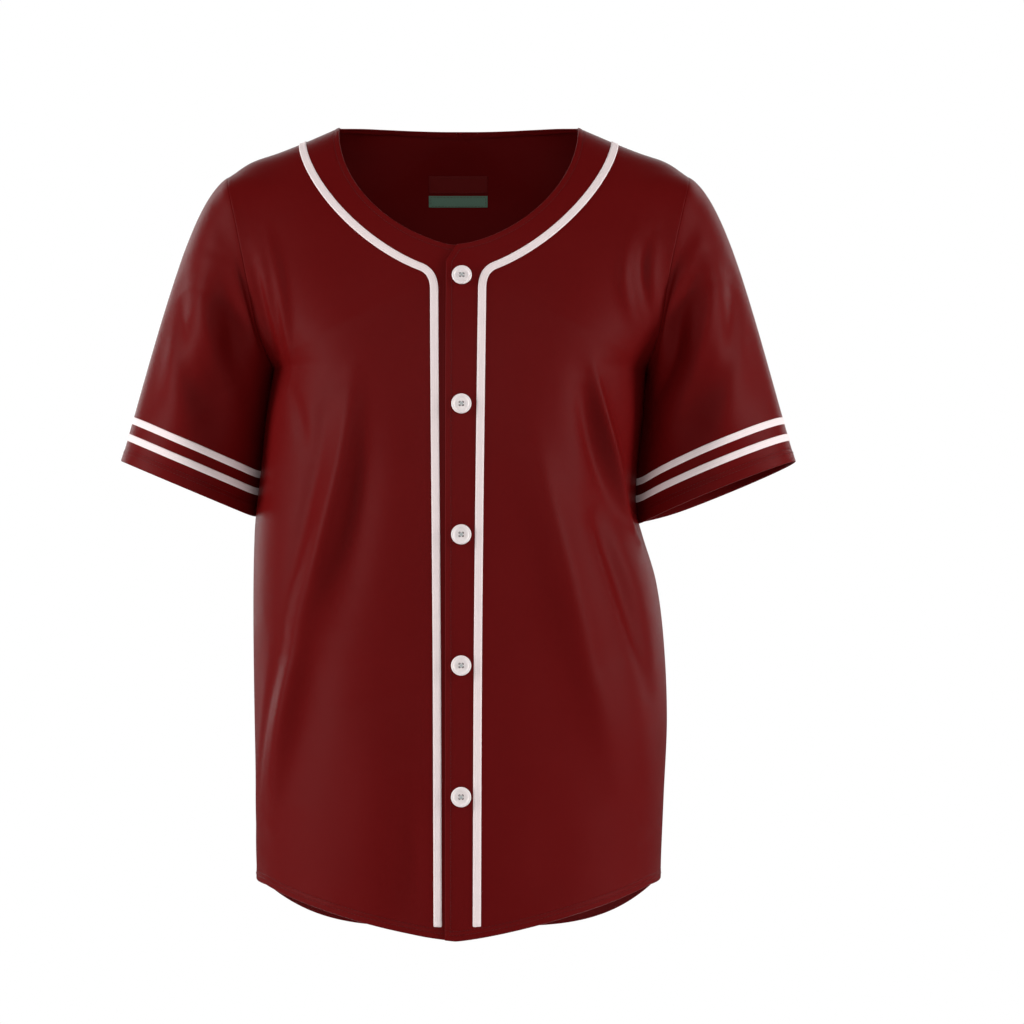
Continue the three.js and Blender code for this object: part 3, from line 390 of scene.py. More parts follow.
def ready_fold(fold, line):
    """The fold with its line in space and the distance past which it does nothing."""
    length = np.linalg.norm(np.diff(line, axis=0), axis=1).sum()
    return {**fold, "line": line, "reach": length / 2 + 3 * fold["width"]}


def body_fold(fold):
    """A body fold laid on the smooth body."""
    x, z = np.array(fold["x"], float), np.array(fold["z"], float)
    side = "left" if x[0] > 0 else "right"
    angle = angle_at(side, fold["face"], x, z)
    return ready_fold(fold, fold_line(body_form(side, fold["face"], angle, z)))


body_folds = [body_fold(fold) for fold in BODY_FOLDS + SMALL_BODY_FOLDS]
print("folds on the body:", len(body_folds))


# %% Points of the folded body
FOLDS_START = {"from": 2, "to": 30}
SHOULDER_ROUND = {"x": 187, "height": 3.4, "width": 18, "from": -100, "to": -50}


def shoulder_round(out, z):
    """The soft padding of a shoulder: a low swelling just before the sleeve seam."""
    across = bell(np.abs(out) - SHOULDER_ROUND["x"], SHOULDER_ROUND["width"])
    return SHOULDER_ROUND["height"] * across * ease(z, SHOULDER_ROUND["from"], SHOULDER_ROUND["to"])


def body_surface(side, face, out, z):
    """Points and outward normals of the folded body at distances out from the centre line."""
    other = "right" if side == "left" else "left"
    points, normals = body_form_and_normal(side, angle_at(side, face, out, z), z)
    far_points, far_normals = body_form_and_normal(other, angle_at(other, face, out, z), z)
    crossed = (out < 0)[..., None]
    points, normals = np.where(crossed, far_points, points), np.where(crossed, far_normals, normals)
    away_from_centre = ease(np.abs(out), FOLDS_START["from"], FOLDS_START["to"])
    lift = away_from_centre * fold_height(body_folds, points) + shoulder_round(out, z)
    return points + normals * lift[..., None], normals


def front_surface(name, out, z):
    """The folded body on one front. The under front dips beneath the upper one near the opening."""
    points, normals = body_surface(name, "front", out, z)
    dip = FRONTS[name]["sink"] * np.clip((DIP["from"] - out) / (DIP["from"] - DIP["to"]), 0, 1)
    return points - normals * dip[..., None], normals


# %% [markdown]
# ## Laying out a panel
# A front or half a back is a grid. Its columns run from the opening, or the centre of the back, to the side
# seam. Its rows run from the curved hem up to the underarm, then fan out between the neck edge and the
# armhole. Extra rows and columns crowd together beside each free edge, where the cloth is turned in and
# stitched. A panel could also be cut out of a larger sheet, but a grid keeps its rows along the real edges,
# and the stitches and the knit need those directions.

# %% Rows and columns of a panel
COLUMNS = 14
ARMHOLE_ROWS = 12
ARMHOLE_STEPS = 96
EDGE_SHARES = (0, 0.0008, 0.0018, 0.0032, 0.006)
HEM_ROWS = (0, 0.4, 0.9, 1.6, 2.6, 4, 5.5, 7, 8.2, 9, HEM_DEPTH, 10.2, 11, 12.5)


def hem_z(hem, share):
    """The hem's height: lowest at the centre, and rising by a power of the share of the half width."""
    side = np.clip(np.abs(share) / hem["reach"], 0, 1)
    return SIDE_HEM_Z - hem["drop"] * (1 - side ** hem["power"]) ** hem["round"]


def ridge_z(out):
    """The height of the shoulder's ridge at a distance out, found by halving."""
    low, high = np.full(np.shape(out), SHOULDER_Z, float), np.full(np.shape(out), 6.0)
    for _ in range(40):
        middle = (low + high) / 2
        too_low = read_table(SHOULDER_LINE, "x", middle) > out
        low, high = np.where(too_low, middle, low), np.where(too_low, high, middle)
    return (low + high) / 2


def front_inner_edge(name, step):
    """The front's inner edge above the chest, by step from 0 to 12: up, across the corner, round the neck."""
    edge = FRONTS[name]["edge"]
    turn = (1 - np.clip(1 - (step - 2) / (ARMHOLE_ROWS - 2), 0, 1) ** 1.4) * math.pi / 2
    neck_out = NECK["half_width"] * np.sin(turn) ** (2 / NECK["front_power"])
    share = np.clip(neck_out / NECK["half_width"], 0, 1)
    neck_z = -NECK["front_drop"] * np.sqrt(np.clip(1 - share ** NECK["front_power"], 0, 1))
    low_z = np.interp(step, [0, 1, 2], [YOKE_Z, CORNER_Z, -NECK["front_drop"]])
    low_out = np.interp(step, [0, 1, 2], [edge, edge, 0])
    return np.where(step < 2, low_out, neck_out), np.where(step < 2, low_z, neck_z)


def back_inner_edge(_, step):
    """The back's inner edge above the chest: up its centre line, then along the neck edge."""
    half = ARMHOLE_ROWS / 2
    turn = np.clip((step - half) / half, 0, 1) * math.pi / 2
    out = NECK["half_width"] * np.sin(turn)
    neck_z = NECK["back_rise"] * (1 - (out / NECK["half_width"]) ** NECK["back_power"])
    centre_z = YOKE_Z + (NECK["back_rise"] - YOKE_Z) * np.clip(step / half, 0, 1)
    return np.where(step < half, 0, out), np.where(step < half, centre_z, neck_z)


def column_spread(s, edge, width):
    """How far across the panel a column lies: even at first, then by a sine, closer where the side turns."""
    near = np.interp(s * COLUMNS, [0, 1, 2], [edge, DIP["to"], DIP["from"]])
    turn = np.clip(s * COLUMNS - 2, 0, None) / (COLUMNS - 2)
    far = DIP["from"] + (width - DIP["from"]) * np.sin(turn * math.pi / 2)
    return (np.where(s * COLUMNS < 2, near, far) - edge) / (width - edge)


def panel_places(side, edge, hem, inner_edge, body_steps, column_steps):
    """Distances out and heights of a panel's grid, hem first, with the opening or centre in column 0."""
    s = np.unique(np.concatenate([EDGE_SHARES, np.linspace(0, 1, column_steps + 1)]))
    under_width = read_table(BODY, side, ARMPIT_Z)
    spread = column_spread(s, edge, under_width)[None, :]

    hem_rows = np.array(HEM_ROWS) / (ARMPIT_Z - SIDE_HEM_Z)
    rise = np.unique(np.concatenate([hem_rows, np.linspace(hem_rows[-1], 1, body_steps)]))[:, None]
    side_z = SIDE_HEM_Z + (ARMPIT_Z - SIDE_HEM_Z) * rise
    share = edge / read_table(BODY, side, side_z) * (1 - spread) + spread
    low_z = (1 - rise) * hem_z(hem, share) + rise * (YOKE_Z * (1 - spread) + ARMPIT_Z * spread)
    width = read_table(BODY, side, np.minimum(low_z, ARMPIT_Z))
    low_out = edge * (1 - spread) + width * spread

    step = np.linspace(0, ARMHOLE_ROWS, ARMHOLE_STEPS + 1)[1:, None]
    even = step / ARMHOLE_ROWS
    seam_z = (SHOULDER_Z + ARMPIT_Z) / 2 - (SHOULDER_Z - ARMPIT_Z) / 2 * np.cos(math.pi * even)
    inner_out, inner_z = inner_edge(side, step)
    across = spread * (1 - even) + s[None, :] * even
    high_out = inner_out * (1 - across) + read_table(ARMHOLE, side, seam_z) * across
    high_z = inner_z * (1 - across) + seam_z * across
    top_out = NECK["half_width"] * (1 - s) + read_table(ARMHOLE, side, SHOULDER_Z) * s
    above_line = ridge_z(top_out) - SHOULDER_Z * s
    high_z = high_z + even * (2 - even) * above_line[None, :]
    return np.vstack([low_out, high_out]), np.vstack([low_z, high_z]), len(rise) - 1


# %% [markdown]
# ## Turned edges, seams and stitched hems
# A cut edge of knit cloth is folded under and stitched. From outside that shows as a slightly thicker band,
# a soft groove where the thread pulls the cloth in, and a rounded lip. A sewn seam shows as a narrow valley.
# All of them depend only on how far a point is from an edge, so those distances are measured first. A second
# layer of cloth could be modelled under each edge, but it wouldn't show, and a height can't tear.

# %% Distances from an edge
FAR = 99.0
EDGE_BLOCK = 26


def run_length(points, axis):
    """Distance from the first row or column to each point, measured along the grid."""
    steps = np.linalg.norm(np.diff(points, axis=axis), axis=-1)
    start = np.zeros_like(np.take(steps, [0], axis=axis))
    return np.concatenate([start, np.cumsum(steps, axis=axis)], axis=axis)


def distance_to_line(points, line):
    """The shortest distance from each point to a row of straight pieces."""
    flat = points.reshape(-1, 1, 3)
    starts, steps = line[:-1], np.diff(line, axis=0)
    here = flat - starts
    share = np.clip((here * steps).sum(-1) / np.maximum((steps**2).sum(-1), 1e-12), 0, 1)
    gap = np.linalg.norm(here - share[..., None] * steps, axis=-1)
    return gap.min(axis=1).reshape(points.shape[:-1])


def edge_distance(points, block, line):
    """Distances from an edge for the part of a grid that lies near it, and far away for the rest."""
    distance = np.full(points.shape[:2], FAR)
    distance[block] = distance_to_line(points[block], line)
    return distance


# %% [markdown]
# The lip is a quarter circle over the last millimetre: radius times 1 minus the square root of 1 minus the
# share squared. The band behind it stands a little proud as far as its stitches, and dips at them.

# %% Shapes beside an edge
LIP = 1.0
BAND = {"rise": 0.3, "falls_before": 0.2, "falls_past": 1.6}
STITCH_DIP = {"depth": 0.5, "width": 1.2, "before": 0.9}
SEAM_VALLEY = {"depth": 0.08, "width": 1.2}
SEAM_FILL = {"height": 4.6, "reach": 24, "starts": (0.06, 0.36), "ends": (0.78, 1)}
RIPPLES = [
    {"size": 0.5, "length": 4.7, "start": 1},
    {"size": 0.8, "length": 9.9, "start": 2.1},
    {"size": 1, "length": 23.3, "start": 0.7},
]
RIPPLE_SEEDS = {"front": 1.3, "back": 2.9, "sleeve": 4.4}


def rounded_lip(distance):
    """How far a turned edge curls under over its last stretch."""
    inside = np.clip(1 - distance / LIP, 0, 1)
    return -LIP * (1 - np.sqrt(1 - inside**2))


def stitched_band(distance, depth):
    """A folded band: raised as far as its stitches, pulled in at them, and flat past them."""
    raised = BAND["rise"] * (1 - ease(distance, depth - BAND["falls_before"], depth + BAND["falls_past"]))
    from_stitches = distance - depth + STITCH_DIP["before"]
    return raised - STITCH_DIP["depth"] * bell(from_stitches, STITCH_DIP["width"])


def seam_valley(distance):
    """The narrow valley beside a seam."""
    return -SEAM_VALLEY["depth"] * bell(distance, SEAM_VALLEY["width"])


def seam_fill(distance, up):
    """The sleeve's head is eased into the armhole: a hollow filled by a parabola on both sides of the seam.
    up is 0 under the arm and 1 on the shoulder."""
    share = np.clip(1 - distance / SEAM_FILL["reach"], 0, 1)
    height = SEAM_FILL["height"] * share**2
    return height * ease(up, *SEAM_FILL["starts"]) * (1 - ease(up, *SEAM_FILL["ends"]))


def ripple(along, seed):
    """Uneven small waves along a stitched edge: three sines whose lengths share no common measure."""
    waves = sum(row["size"] * np.sin(along / row["length"] + row["start"] * seed) for row in RIPPLES)
    return waves / sum(row["size"] for row in RIPPLES)


# %% [markdown]
# ## Putting a grid into a mesh
# numpy holds all the points at once, and from_pydata takes them in one call. The UV map holds real metres
# of cloth, so that the knit has the same stitch size everywhere. Solidify then gives the shell its
# thickness, which is less work than a second grid for the inside. A vertex group makes it twice as thick
# where a hem is folded double.

# %% Mesh helpers
CLOTH_THICKNESS = 0.9


def grid_quads(rows, columns, flip=False, wrap=False):
    """Corner numbers of a grid's quads. wrap joins the last column to the first."""
    numbers = np.arange(rows * columns).reshape(rows, columns)
    return quads_between(np.hstack([numbers, numbers[:, :1]]) if wrap else numbers, flip)


def quads_between(numbers, flip=False):
    """The quads between a grid of point numbers."""
    corners = [numbers[:-1, :-1], numbers[:-1, 1:], numbers[1:, 1:], numbers[1:, :-1]]
    quads = np.stack(corners, axis=-1).reshape(-1, 4)
    return quads[:, ::-1] if flip else quads


def new_mesh(name, points_mm, faces, uv_corners=None):
    """A smooth object at the origin, from points in millimetres and a list of faces."""
    mesh = bpy.data.meshes.new(name)
    mesh.from_pydata((np.asarray(points_mm).reshape(-1, 3) * MM).tolist(), [], np.asarray(faces).tolist())
    mesh.polygons.foreach_set("use_smooth", np.ones(len(mesh.polygons), bool))
    if uv_corners is not None:
        layer = mesh.uv_layers.new(name="cloth_metres")
        layer.data.foreach_set("uv", np.asarray(uv_corners, np.float32).ravel())
    mesh.update()
    piece = bpy.data.objects.new(name, mesh)
    bpy.context.scene.collection.objects.link(piece)
    return piece


def grid_piece(name, points, uv_mm, flip=False, wrap=False):
    """A mesh from a grid of points and a grid of UVs, which has one more column if the grid is wrapped."""
    rows, columns = points.shape[:2]
    quads = grid_quads(rows, columns, flip, wrap)
    uv_quads = grid_quads(rows, uv_mm.shape[1], flip)
    return new_mesh(name, points, quads, uv_mm.reshape(-1, 2)[uv_quads.reshape(-1)] * MM)


def add_wall(piece, doubled):
    """Gives a cloth its thickness, twice over where doubled is 1."""
    group = piece.vertex_groups.new(name="layers")
    weights = 0.5 + 0.5 * np.round(doubled.reshape(-1), 1)
    for value in np.unique(weights):
        group.add(np.flatnonzero(weights == value).tolist(), float(value), "REPLACE")
    wall = piece.modifiers.new("wall", "SOLIDIFY")
    wall.thickness = 2 * CLOTH_THICKNESS * MM
    wall.offset = -1
    wall.vertex_group = "layers"


# %% [markdown]
# ## The two fronts
# The wearer's left front lies on top. Its edge is folded under and stitched, and the right front passes
# beneath it. Each is one grid from hem to shoulder, lifted and dipped by its bands, seams and folds. One
# front with a line down its middle would be simpler, but the lap is two layers, and its edge casts a shadow.

# %% Make the fronts
FRONT_DETAIL = {"body_steps": 150, "column_steps": 98}
BACK_DETAIL = {"body_steps": 128, "column_steps": 88}
OPENING_BAND = 6.0
PUCKER = {"height": 0.4, "hem_width": 9, "opening_width": 7, "opening_share": 0.5}


def finish_panel(points, normals, low_row, free_from, seed):
    """Adds bands, lips and seam valleys to a panel. free_from is the first row with a free inner edge."""
    across, up = run_length(points, 1), run_length(points, 0)
    hem = edge_distance(points, np.s_[:EDGE_BLOCK], points[0])
    side = edge_distance(points, np.s_[:, -2 * EDGE_BLOCK:], points[:, -1])
    past_underarm = np.clip((np.arange(len(points)) - low_row) / ARMHOLE_STEPS, 0, 1)[:, None]
    shoulder = edge_distance(points, np.s_[-EDGE_BLOCK:], points[-1])
    inner = edge_distance(points, np.s_[max(0, free_from - 8):, :EDGE_BLOCK], points[free_from:, 0])
    lift = stitched_band(hem, HEM_DEPTH) + rounded_lip(hem)
    lift += stitched_band(inner, OPENING_BAND) + rounded_lip(inner)
    lift += np.minimum(seam_valley(side), seam_valley(shoulder)) + seam_fill(side, past_underarm)
    lift += PUCKER["height"] * ripple(across, seed) * bell(hem - HEM_DEPTH, PUCKER["hem_width"])
    at_opening = PUCKER["opening_share"] * PUCKER["height"] * ripple(up, seed + 1)
    lift += at_opening * bell(inner - OPENING_BAND, PUCKER["opening_width"])
    doubled = np.maximum(hem < HEM_DEPTH, inner < OPENING_BAND).astype(float)
    return {
        "points": points + normals * lift[..., None],
        "normals": normals,
        "uv": np.stack([across, up], axis=-1),
        "doubled": doubled,
        "hem": hem,
        "inner": inner,
        "low_row": low_row,
    }


def front_panel(name):
    """One front panel's grid."""
    front = FRONTS[name]
    out, z, low_row = panel_places(name, front["edge"], FRONT_HEM, front_inner_edge, **FRONT_DETAIL)
    points, normals = front_surface(name, out, z)
    return finish_panel(points, normals, low_row, 0, RIPPLE_SEEDS["front"] + front["side"])


def back_half(name):
    """One half of the back's grid."""
    out, z, low_row = panel_places(name, 0, BACK_HEM, back_inner_edge, **BACK_DETAIL)
    points, normals = body_surface(name, "back", out, z)
    free_from = low_row + ARMHOLE_STEPS // 2
    return finish_panel(points, normals, low_row, free_from, RIPPLE_SEEDS["back"] * SIGN[name])


panels = {"front_right": front_panel("right"), "front_left": front_panel("left")}
cloth = {}
for name, panel in panels.items():
    cloth[name] = grid_piece(f"{name}_cloth", panel["points"], panel["uv"], name == "front_right")
    add_wall(cloth[name], panel["doubled"])
    print(name, "grid:", panel["points"].shape[:2])

# %% [markdown]
# ## The back
# The back is one piece of cloth. Its two half grids share the points of their centre line as far up as the
# neck edge, where the hole for the neck parts them. That is simpler than one grid that has to go round the
# hole. Its hem hangs lower than the fronts' and shows below.

# %% Make the back
def sewn_back(right, left, neck_row):
    """One mesh from the two halves, with their centre columns welded below the neck edge."""
    rows, columns = right["points"].shape[:2]
    right_numbers = np.arange(rows * columns).reshape(rows, columns)
    left_numbers = right_numbers + rows * columns
    left_numbers[: neck_row + 1, 0] = right_numbers[: neck_row + 1, 0]
    faces = np.vstack([quads_between(right_numbers), quads_between(left_numbers, flip=True)])
    plain = np.vstack([grid_quads(rows, columns), grid_quads(rows, columns, flip=True) + rows * columns])
    points = np.vstack([half["points"].reshape(-1, 3) for half in (right, left)])
    uv = np.vstack([half["uv"].reshape(-1, 2) for half in (right, left)])
    doubled = np.concatenate([half["doubled"].ravel() for half in (right, left)])
    used, compact = np.unique(faces, return_inverse=True)
    piece = new_mesh("back_cloth", points[used], compact.reshape(-1, 4), uv[plain.reshape(-1)] * MM)
    add_wall(piece, doubled[used])
    return piece


panels["back_right"], panels["back_left"] = back_half("right"), back_half("left")
panels["back_right"]["uv"][..., 0] *= -1
neck_row = panels["back_right"]["low_row"] + ARMHOLE_STEPS // 2
cloth["back"] = sewn_back(panels["back_right"], panels["back_left"], neck_row)
print("back faces:", len(cloth["back"].data.polygons))

# %% [markdown]
# ## The sleeves
# A set-in sleeve starts at the armhole and ends at the cuff, which faces down and a little out. Each line
# along it is a cubic Hermite curve: it leaves the shoulder at one slope and meets the cuff at another. The
# first ring is the body's own armhole edge, so the seam closes. A straight tube between two rings would be
# easier, but a real sleeve bends over the shoulder.

# %% The sleeve's smooth form
SLEEVE_TURNS = 2 * ARMHOLE_STEPS
SLEEVE_RINGS = 84


def armhole_points(name):
    """The seam's points all round, from the underarm up the front, over the top and down the back."""
    front = panels[f"front_{name}"]
    low, front_points = front["low_row"], front["points"][:, -1]
    back = panels[f"back_{name}"]
    back_points = back["points"][back["low_row"]:, -1]
    return np.concatenate([front_points[low:], back_points[-2:0:-1]])


def sleeve_form(name, turn, share):
    """Points of the smooth sleeve. turn is 0 on top, a quarter in front and a half under the arm."""
    side, cuff = SIGN[name], CUFFS[name]
    turn = np.mod(turn, 2 * math.pi)
    from_top = np.where(turn <= math.pi, turn, 2 * math.pi - turn)
    under = (1 - np.cos(turn)) / 2
    z = (SHOULDER_Z + ARMPIT_Z) / 2 + (SHOULDER_Z - ARMPIT_Z) / 2 * np.cos(from_top)
    out = read_table(ARMHOLE, name, z)
    on_front, _ = body_surface(name, "front", out, z)
    on_back, _ = body_surface(name, "back", out, z)
    start = np.where((turn <= math.pi)[..., None], on_front, on_back)
    start = start + np.array([side * SEAM_GAP, 0, 0])

    def mix(low, high):
        return low * (1 - under) + high * under

    slope = np.radians(mix(SLEEVE_START["top_slope"], SLEEVE_START["under_slope"]))
    start_length = mix(SLEEVE_START["top_length"], SLEEVE_START["under_length"])
    swell = -SLEEVE_START["swell"] * np.sin(turn)
    start_way = np.stack([side * np.cos(slope), swell, -np.sin(slope)], axis=-1) * start_length[..., None]
    lean = np.radians(mix(SLEEVE_END["top_lean"], SLEEVE_END["under_lean"]))
    end_length = mix(SLEEVE_END["top_length"], SLEEVE_END["under_length"])
    end_way = np.stack([side * np.sin(lean), 0 * lean, -np.cos(lean)], axis=-1) * end_length[..., None]
    end = np.stack([
        side * mix(cuff["outer_x"], cuff["inner_x"]),
        cuff["y"] - cuff["depth"] / 2 * np.sin(turn),
        mix(cuff["outer_z"], cuff["inner_z"]) + cuff["tilt"] * np.sin(turn),
    ], axis=-1)
    t = share[..., None]
    return (
        (2 * t**3 - 3 * t**2 + 1) * start
        + (t**3 - 2 * t**2 + t) * start_way
        + (3 * t**2 - 2 * t**3) * end
        + (t**3 - t**2) * end_way
    )


# %% [markdown]
# The cuff has a stitched hem like the body's, 13 mm deep, and two white stripes are sewn on above it.
# Distances from the cuff's edge are measured along the sleeve, so the stripes run level with it.

# %% Make the sleeves
CUFF_HEM = 13.0
CUFF_ROWS = (0, 0.4, 0.9, 1.6, 2.6, 4, 6, 8, 10, 11.4, 12.2, 13, 13.8, 14.8, 16.5)
CUFF_SHARE = 0.1
SLEEVE_FADE = {"large_to": 0.25, "small_to": 0.1, "tuck_to": 0.2, "cuff_from": 0.75, "cuff_loss": 0.55}
UNDERARM_SEAM_FROM = 6
SEAM_PULL = 11


def sleeve_fold(name, fold):
    """A sleeve fold laid on the smooth sleeve."""
    turn = np.radians(np.array(fold["turn"], float))
    return ready_fold(fold, fold_line(sleeve_form(name, turn, np.array(fold["share"], float))))


def sleeve_tuck(name, turn, share):
    """The inner side of a sleeve bulges a little behind the body, and so closes the gap beside it."""
    tuck = SLEEVE_TUCK[name]
    from_middle = np.degrees(np.mod(turn, 2 * math.pi)) - tuck["turn"]
    return tuck["height"] * bell(from_middle, tuck["width"]) * ease(share, 0, SLEEVE_FADE["tuck_to"])


def sleeve_places(name):
    """How far round and along the sleeve each grid point lies, cuff first, with close rows at its hem."""
    turn = (math.pi - np.arange(SLEEVE_TURNS) * math.pi / ARMHOLE_STEPS)[None, :]
    cuff_edge = sleeve_form(name, turn, 0 * turn + 1)
    above_cuff = sleeve_form(name, turn, 0 * turn + 1 - CUFF_SHARE)
    last = np.linalg.norm(cuff_edge - above_cuff, axis=-1)
    near_cuff = 1 - CUFF_SHARE * np.array(CUFF_ROWS)[:, None] / last
    even_rows = np.linspace(1, 0, SLEEVE_RINGS)[1:, None] * near_cuff[-1:]
    share = np.vstack([near_cuff, even_rows])
    return turn + 0 * share, share


def sleeve_normals(name, turn, share):
    """Outward normals of the smooth sleeve, from two small steps over it."""
    step = 0.01
    low, high = np.clip(share - step, 0, 1), np.clip(share + step, 0, 1)
    around = sleeve_form(name, turn + step, share) - sleeve_form(name, turn - step, share)
    along = sleeve_form(name, turn, high) - sleeve_form(name, turn, low)
    return unit(np.cross(around, along)) * SIGN[name]


def sleeve_lift(name, turn, share, points):
    """How far the folds and the tuck lift each point of the smooth sleeve."""
    large = [sleeve_fold(name, fold) for fold in SLEEVE_FOLDS[name]]
    small = [sleeve_fold(name, fold) for fold in SMALL_SLEEVE_FOLDS[name]]
    lift = ease(share, 0, SLEEVE_FADE["large_to"]) * fold_height(large, points)
    lift += ease(share, 0, SLEEVE_FADE["small_to"]) * fold_height(small, points)
    lift *= 1 - SLEEVE_FADE["cuff_loss"] * ease(share, SLEEVE_FADE["cuff_from"], 1)
    return lift + sleeve_tuck(name, turn, share)


def sleeve_panel(name):
    """One sleeve's grid, cuff first. Its columns start under the arm and go up the front."""
    turn, share = sleeve_places(name)
    points, normals = sleeve_form(name, turn, share), sleeve_normals(name, turn, share)
    points = points + normals * sleeve_lift(name, turn, share, points)[..., None]

    closed = np.concatenate([points, points[:, :1]], axis=1)
    around_uv, from_cuff = run_length(closed, 1), run_length(closed, 0)
    cuff = from_cuff[:, :-1]
    seam = (from_cuff[-1:] - from_cuff)[:, :-1]
    under = np.minimum(around_uv, around_uv[:, -1:] - around_uv)[:, :-1]
    lift = stitched_band(cuff, CUFF_HEM) + rounded_lip(cuff)
    lift += seam_valley(seam) + seam_valley(under) * ease(seam, 0, UNDERARM_SEAM_FROM)
    lift += seam_fill(seam, (1 + np.cos(turn)) / 2)
    waves = PUCKER["height"] * ripple(around_uv[:, :-1], RIPPLE_SEEDS["sleeve"] + SIGN[name])
    lift += waves * bell(cuff - CUFF_HEM, PUCKER["hem_width"])
    points = points + normals * lift[..., None]
    to_seam = armhole_points(name) - points[-1]
    points = points + to_seam[None] * bell(seam, SEAM_PULL)[..., None]
    return {
        "points": points,
        "normals": normals,
        "uv": np.stack([around_uv, from_cuff], axis=-1),
        "doubled": (cuff < CUFF_HEM).astype(float),
        "cuff": cuff,
    }


for name in ("right", "left"):
    sleeve = sleeve_panel(name)
    panels[f"sleeve_{name}"] = sleeve
    piece = grid_piece(f"sleeve_{name}_cloth", sleeve["points"], sleeve["uv"], name == "right", wrap=True)
    add_wall(piece, sleeve["doubled"])
    cloth[f"sleeve_{name}"] = piece
    print(piece.name, "grid:", sleeve["points"].shape[:2])

# %% [markdown]
# ## Lines and strips on the cloth
# Braid, stripes and stitches all follow the cloth. A line at a fixed distance from an edge comes from the
# distances measured above. A strip has a flat, slightly domed top and rounded edges that tuck under. White
# paint in the cloth's texture would look flat: a sewn strip stands up and shades the cloth beside it.

# %% Lines along an edge
def line_at(points, distance, wanted, axis):
    """Where a grid's own lines cross a wanted distance, found between the two nearest points."""
    values, places = np.moveaxis(distance, axis, 0), np.moveaxis(points, axis, 0)
    last = np.maximum((values > wanted).argmax(axis=0), 1)
    column = np.arange(values.shape[1])
    before, after = values[last - 1, column], values[last, column]
    share = np.clip((wanted - before) / np.maximum(after - before, 1e-9), 0, 1)[:, None]
    return places[last - 1, column] * (1 - share) + places[last, column] * share


# %% [markdown]
# Seen end on, the strip is a box with its top corners rounded off by the formula height = thickness times
# the square root of 1 minus the share of the half width to the power 6.

# %% The strip's cross-section
STRIP_SHARES = np.array([-1, -0.985, -0.94, -0.82, -0.6, -0.3, 0, 0.3, 0.6, 0.82, 0.94, 0.985, 1])
BRAID = {"width": 7, "thickness": 0.8, "step": 2.5}
BRAID_CORNER = {"out": 13, "drop": 16}
BRAID_STEPS = {"neck": 90, "corner": 20, "down": 120, "back": 130}
BACK_BRAID = {"drop": 15, "power": 0.9}
STRIPE = {"width": 6.5, "thickness": 0.8}
TUCK = -0.35


def strip_heights(thickness):
    """Heights of the strip's top above the cloth, with both outer edges tucked just under its surface."""
    heights = thickness * np.sqrt(1 - np.abs(STRIP_SHARES) ** 6)
    heights[[0, -1]] = TUCK
    return heights[:, None]


def make_stripe(name, index, centre):
    """One white ring round a sleeve."""
    sleeve = panels[f"sleeve_{name}"]
    offsets = STRIP_SHARES * STRIPE["width"] / 2
    rings = np.stack([line_at(sleeve["points"], sleeve["cuff"], centre + offset, 0) for offset in offsets])
    normals = unit(line_at(sleeve["normals"], sleeve["cuff"], centre, 0))
    points = rings + normals[None] * strip_heights(STRIPE["thickness"])[..., None]
    closed = np.concatenate([points, points[:, :1]], axis=1)
    along = run_length(closed, 1)
    across = offsets[:, None] + 0 * along
    return grid_piece(
        f"stripe_{name}_{index}_braid", points, np.stack([across, along], axis=-1), name == "right", wrap=True
    )


stripes = {}
for name in ("right", "left"):
    for index, centre in enumerate(STRIPE_CENTRES, start=1):
        stripes[f"stripe_{name}_{index}"] = make_stripe(name, index, centre)
print("stripes:", ", ".join(stripes))

# %% [markdown]
# ## The braid
# One length of white braid is sewn up the right front, round behind the neck and down the left front. Its
# middle line is drawn on the front as a neck curve, a rounded corner and a nearly straight drop.

# %% The braid's path
def spaced(line, step):
    """The same line with evenly spaced points."""
    length = np.concatenate([[0], np.cumsum(np.linalg.norm(np.diff(line, axis=0), axis=1))])
    places = np.linspace(0, length[-1], int(math.ceil(length[-1] / step)) + 1)
    return np.stack([np.interp(places, length, line[:, i]) for i in range(line.shape[1])], axis=-1)


def front_braid_line(name):
    """Distances out and heights of the braid's middle, from the shoulder to the hem's stitches."""
    drop = FRONTS[name]["braid_drop"]

    def neck_z(out):
        return BRAID_END["z"] - drop * (1 - (out / BRAID_END["x"]) ** NECK["front_power"]) ** (2 / 3)

    yoke_out = float(read_table(BRAID_LINE, name, YOKE_Z))
    corner = np.array([yoke_out, neck_z(yoke_out + 2)])
    angle = np.linspace(math.pi / 2, 0, BRAID_STEPS["neck"])
    neck_start = corner[0] + BRAID_CORNER["out"]
    neck_out = neck_start + (BRAID_END["x"] - neck_start) * np.sin(angle) ** 1.4
    neck = np.stack([neck_out, neck_z(neck_out)], axis=-1)
    share = read_table(BRAID_LINE, name, SIDE_HEM_Z) / read_table(BODY, name, SIDE_HEM_Z)
    low_end = hem_z(FRONT_HEM, share) + HEM_DEPTH
    down_z = np.linspace(corner[1] - BRAID_CORNER["drop"], low_end, BRAID_STEPS["down"])
    down = np.stack([read_table(BRAID_LINE, name, down_z), down_z], axis=-1)
    t = np.linspace(0, 1, BRAID_STEPS["corner"])[1:-1, None]
    turn = neck[-1] * (1 - t) ** 2 + corner * 2 * t * (1 - t) + down[0] * t**2
    return spaced(np.vstack([neck, turn, down]), BRAID["step"])


